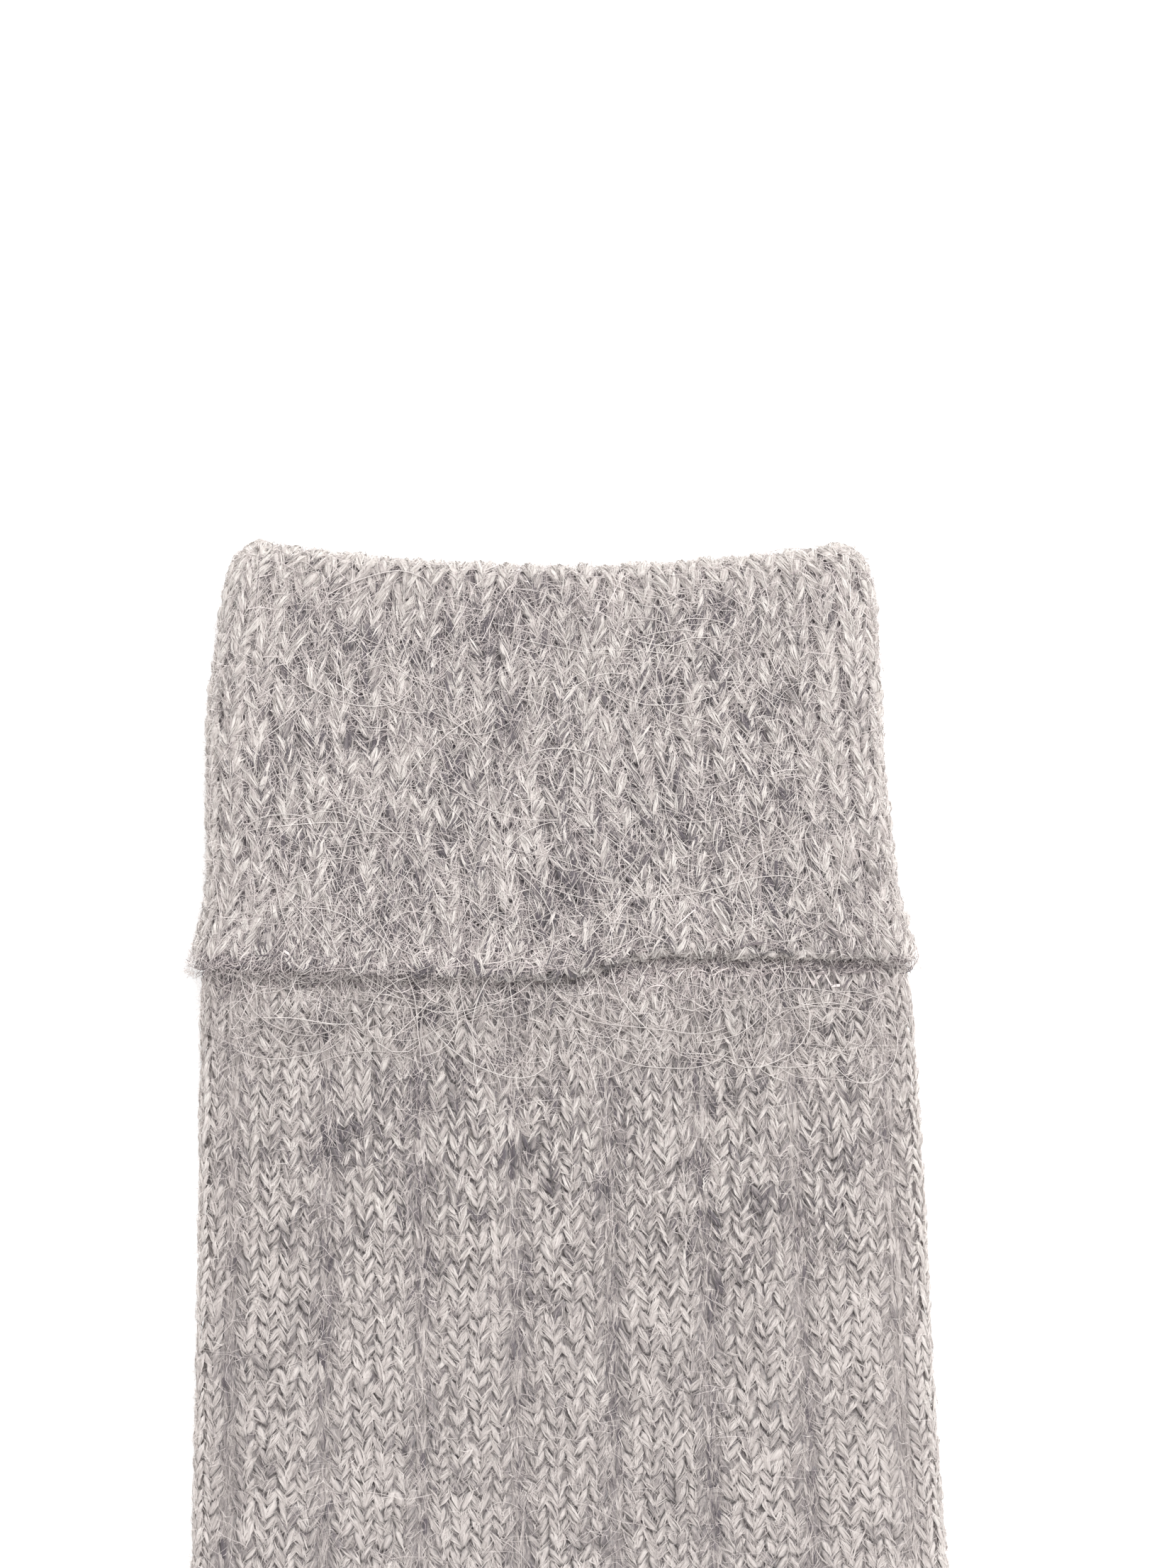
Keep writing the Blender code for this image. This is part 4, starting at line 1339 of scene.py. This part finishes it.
def add_studio():
    scene = bpy.context.scene
    scene.view_settings.view_transform = "Standard"
    scene.view_settings.look = "None"
    world = bpy.data.worlds.new("studio")
    world.use_nodes = True
    background = world.node_tree.nodes["Background"]
    background.inputs["Color"].default_value = linear("#FFFFFF")
    background.inputs["Strength"].default_value = 0.75
    scene.world = world
    add_light("softbox", place=(0.32, 0.80, 1.5), size=1.0, power=27.1, target=(-0.05, 0.08, 0))
    mesh = bmesh.new()
    bmesh.ops.create_grid(mesh, x_segments=4, y_segments=4, size=3.0)
    data = bpy.data.meshes.new("floor")
    mesh.to_mesh(data)
    mesh.free()
    new_piece("floor", data, floor_material())


# ---------------------------------------------------------------- the sock


def main():
    add_camera()
    add_studio()
    yarn = yarn_material()
    # the inner layer's materials are painted darker than the yarn, as shade between the stitches
    inside = backing_material("matted_wool_inside_painted_shade", INSIDE_TONES)
    cuff_inside = backing_material("matted_wool_cuff_inside_painted_shade", CUFF_INSIDE_TONES)
    cuff = knit_cuff()
    leg = knit_leg()
    hem, toe, tip = len(cuff.points) - HEM_ROWS, leg.toe_start, len(leg.points) - 1
    cuff_back = backing("cuff_backing", cuff, 0, hem, 44, 64, BACKING_WALL, cuff_inside)
    leg_back = backing("leg_and_foot_backing", leg, 0, toe, 72, 64, BACKING_WALL, inside)
    toe_back = backing("toe_backing", leg, toe, tip, 18, 64, TOE_BACKING_WALL, inside, seamed=True)
    cuff_pieces = [cuff_back] + cuff_stitches(cuff, yarn)
    leg_pieces = [leg_back] + leg_stitches(leg, yarn)
    toe_pieces = [toe_back, toe_stitches(leg, yarn)]
    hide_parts("turned_cuff")
    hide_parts("leg_and_foot")
    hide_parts("toe")
    for piece in loose_wool(cuff, leg, [cuff_back, leg_back, toe_back]):
        (cuff_pieces if piece.name.startswith("cuff") else leg_pieces).append(piece)
    for pieces, slot in ((cuff_pieces, "cuff_knit"), (leg_pieces, "leg_knit"), (toe_pieces, "toe_knit")):
        for piece in pieces:
            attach(piece, "root")


main()
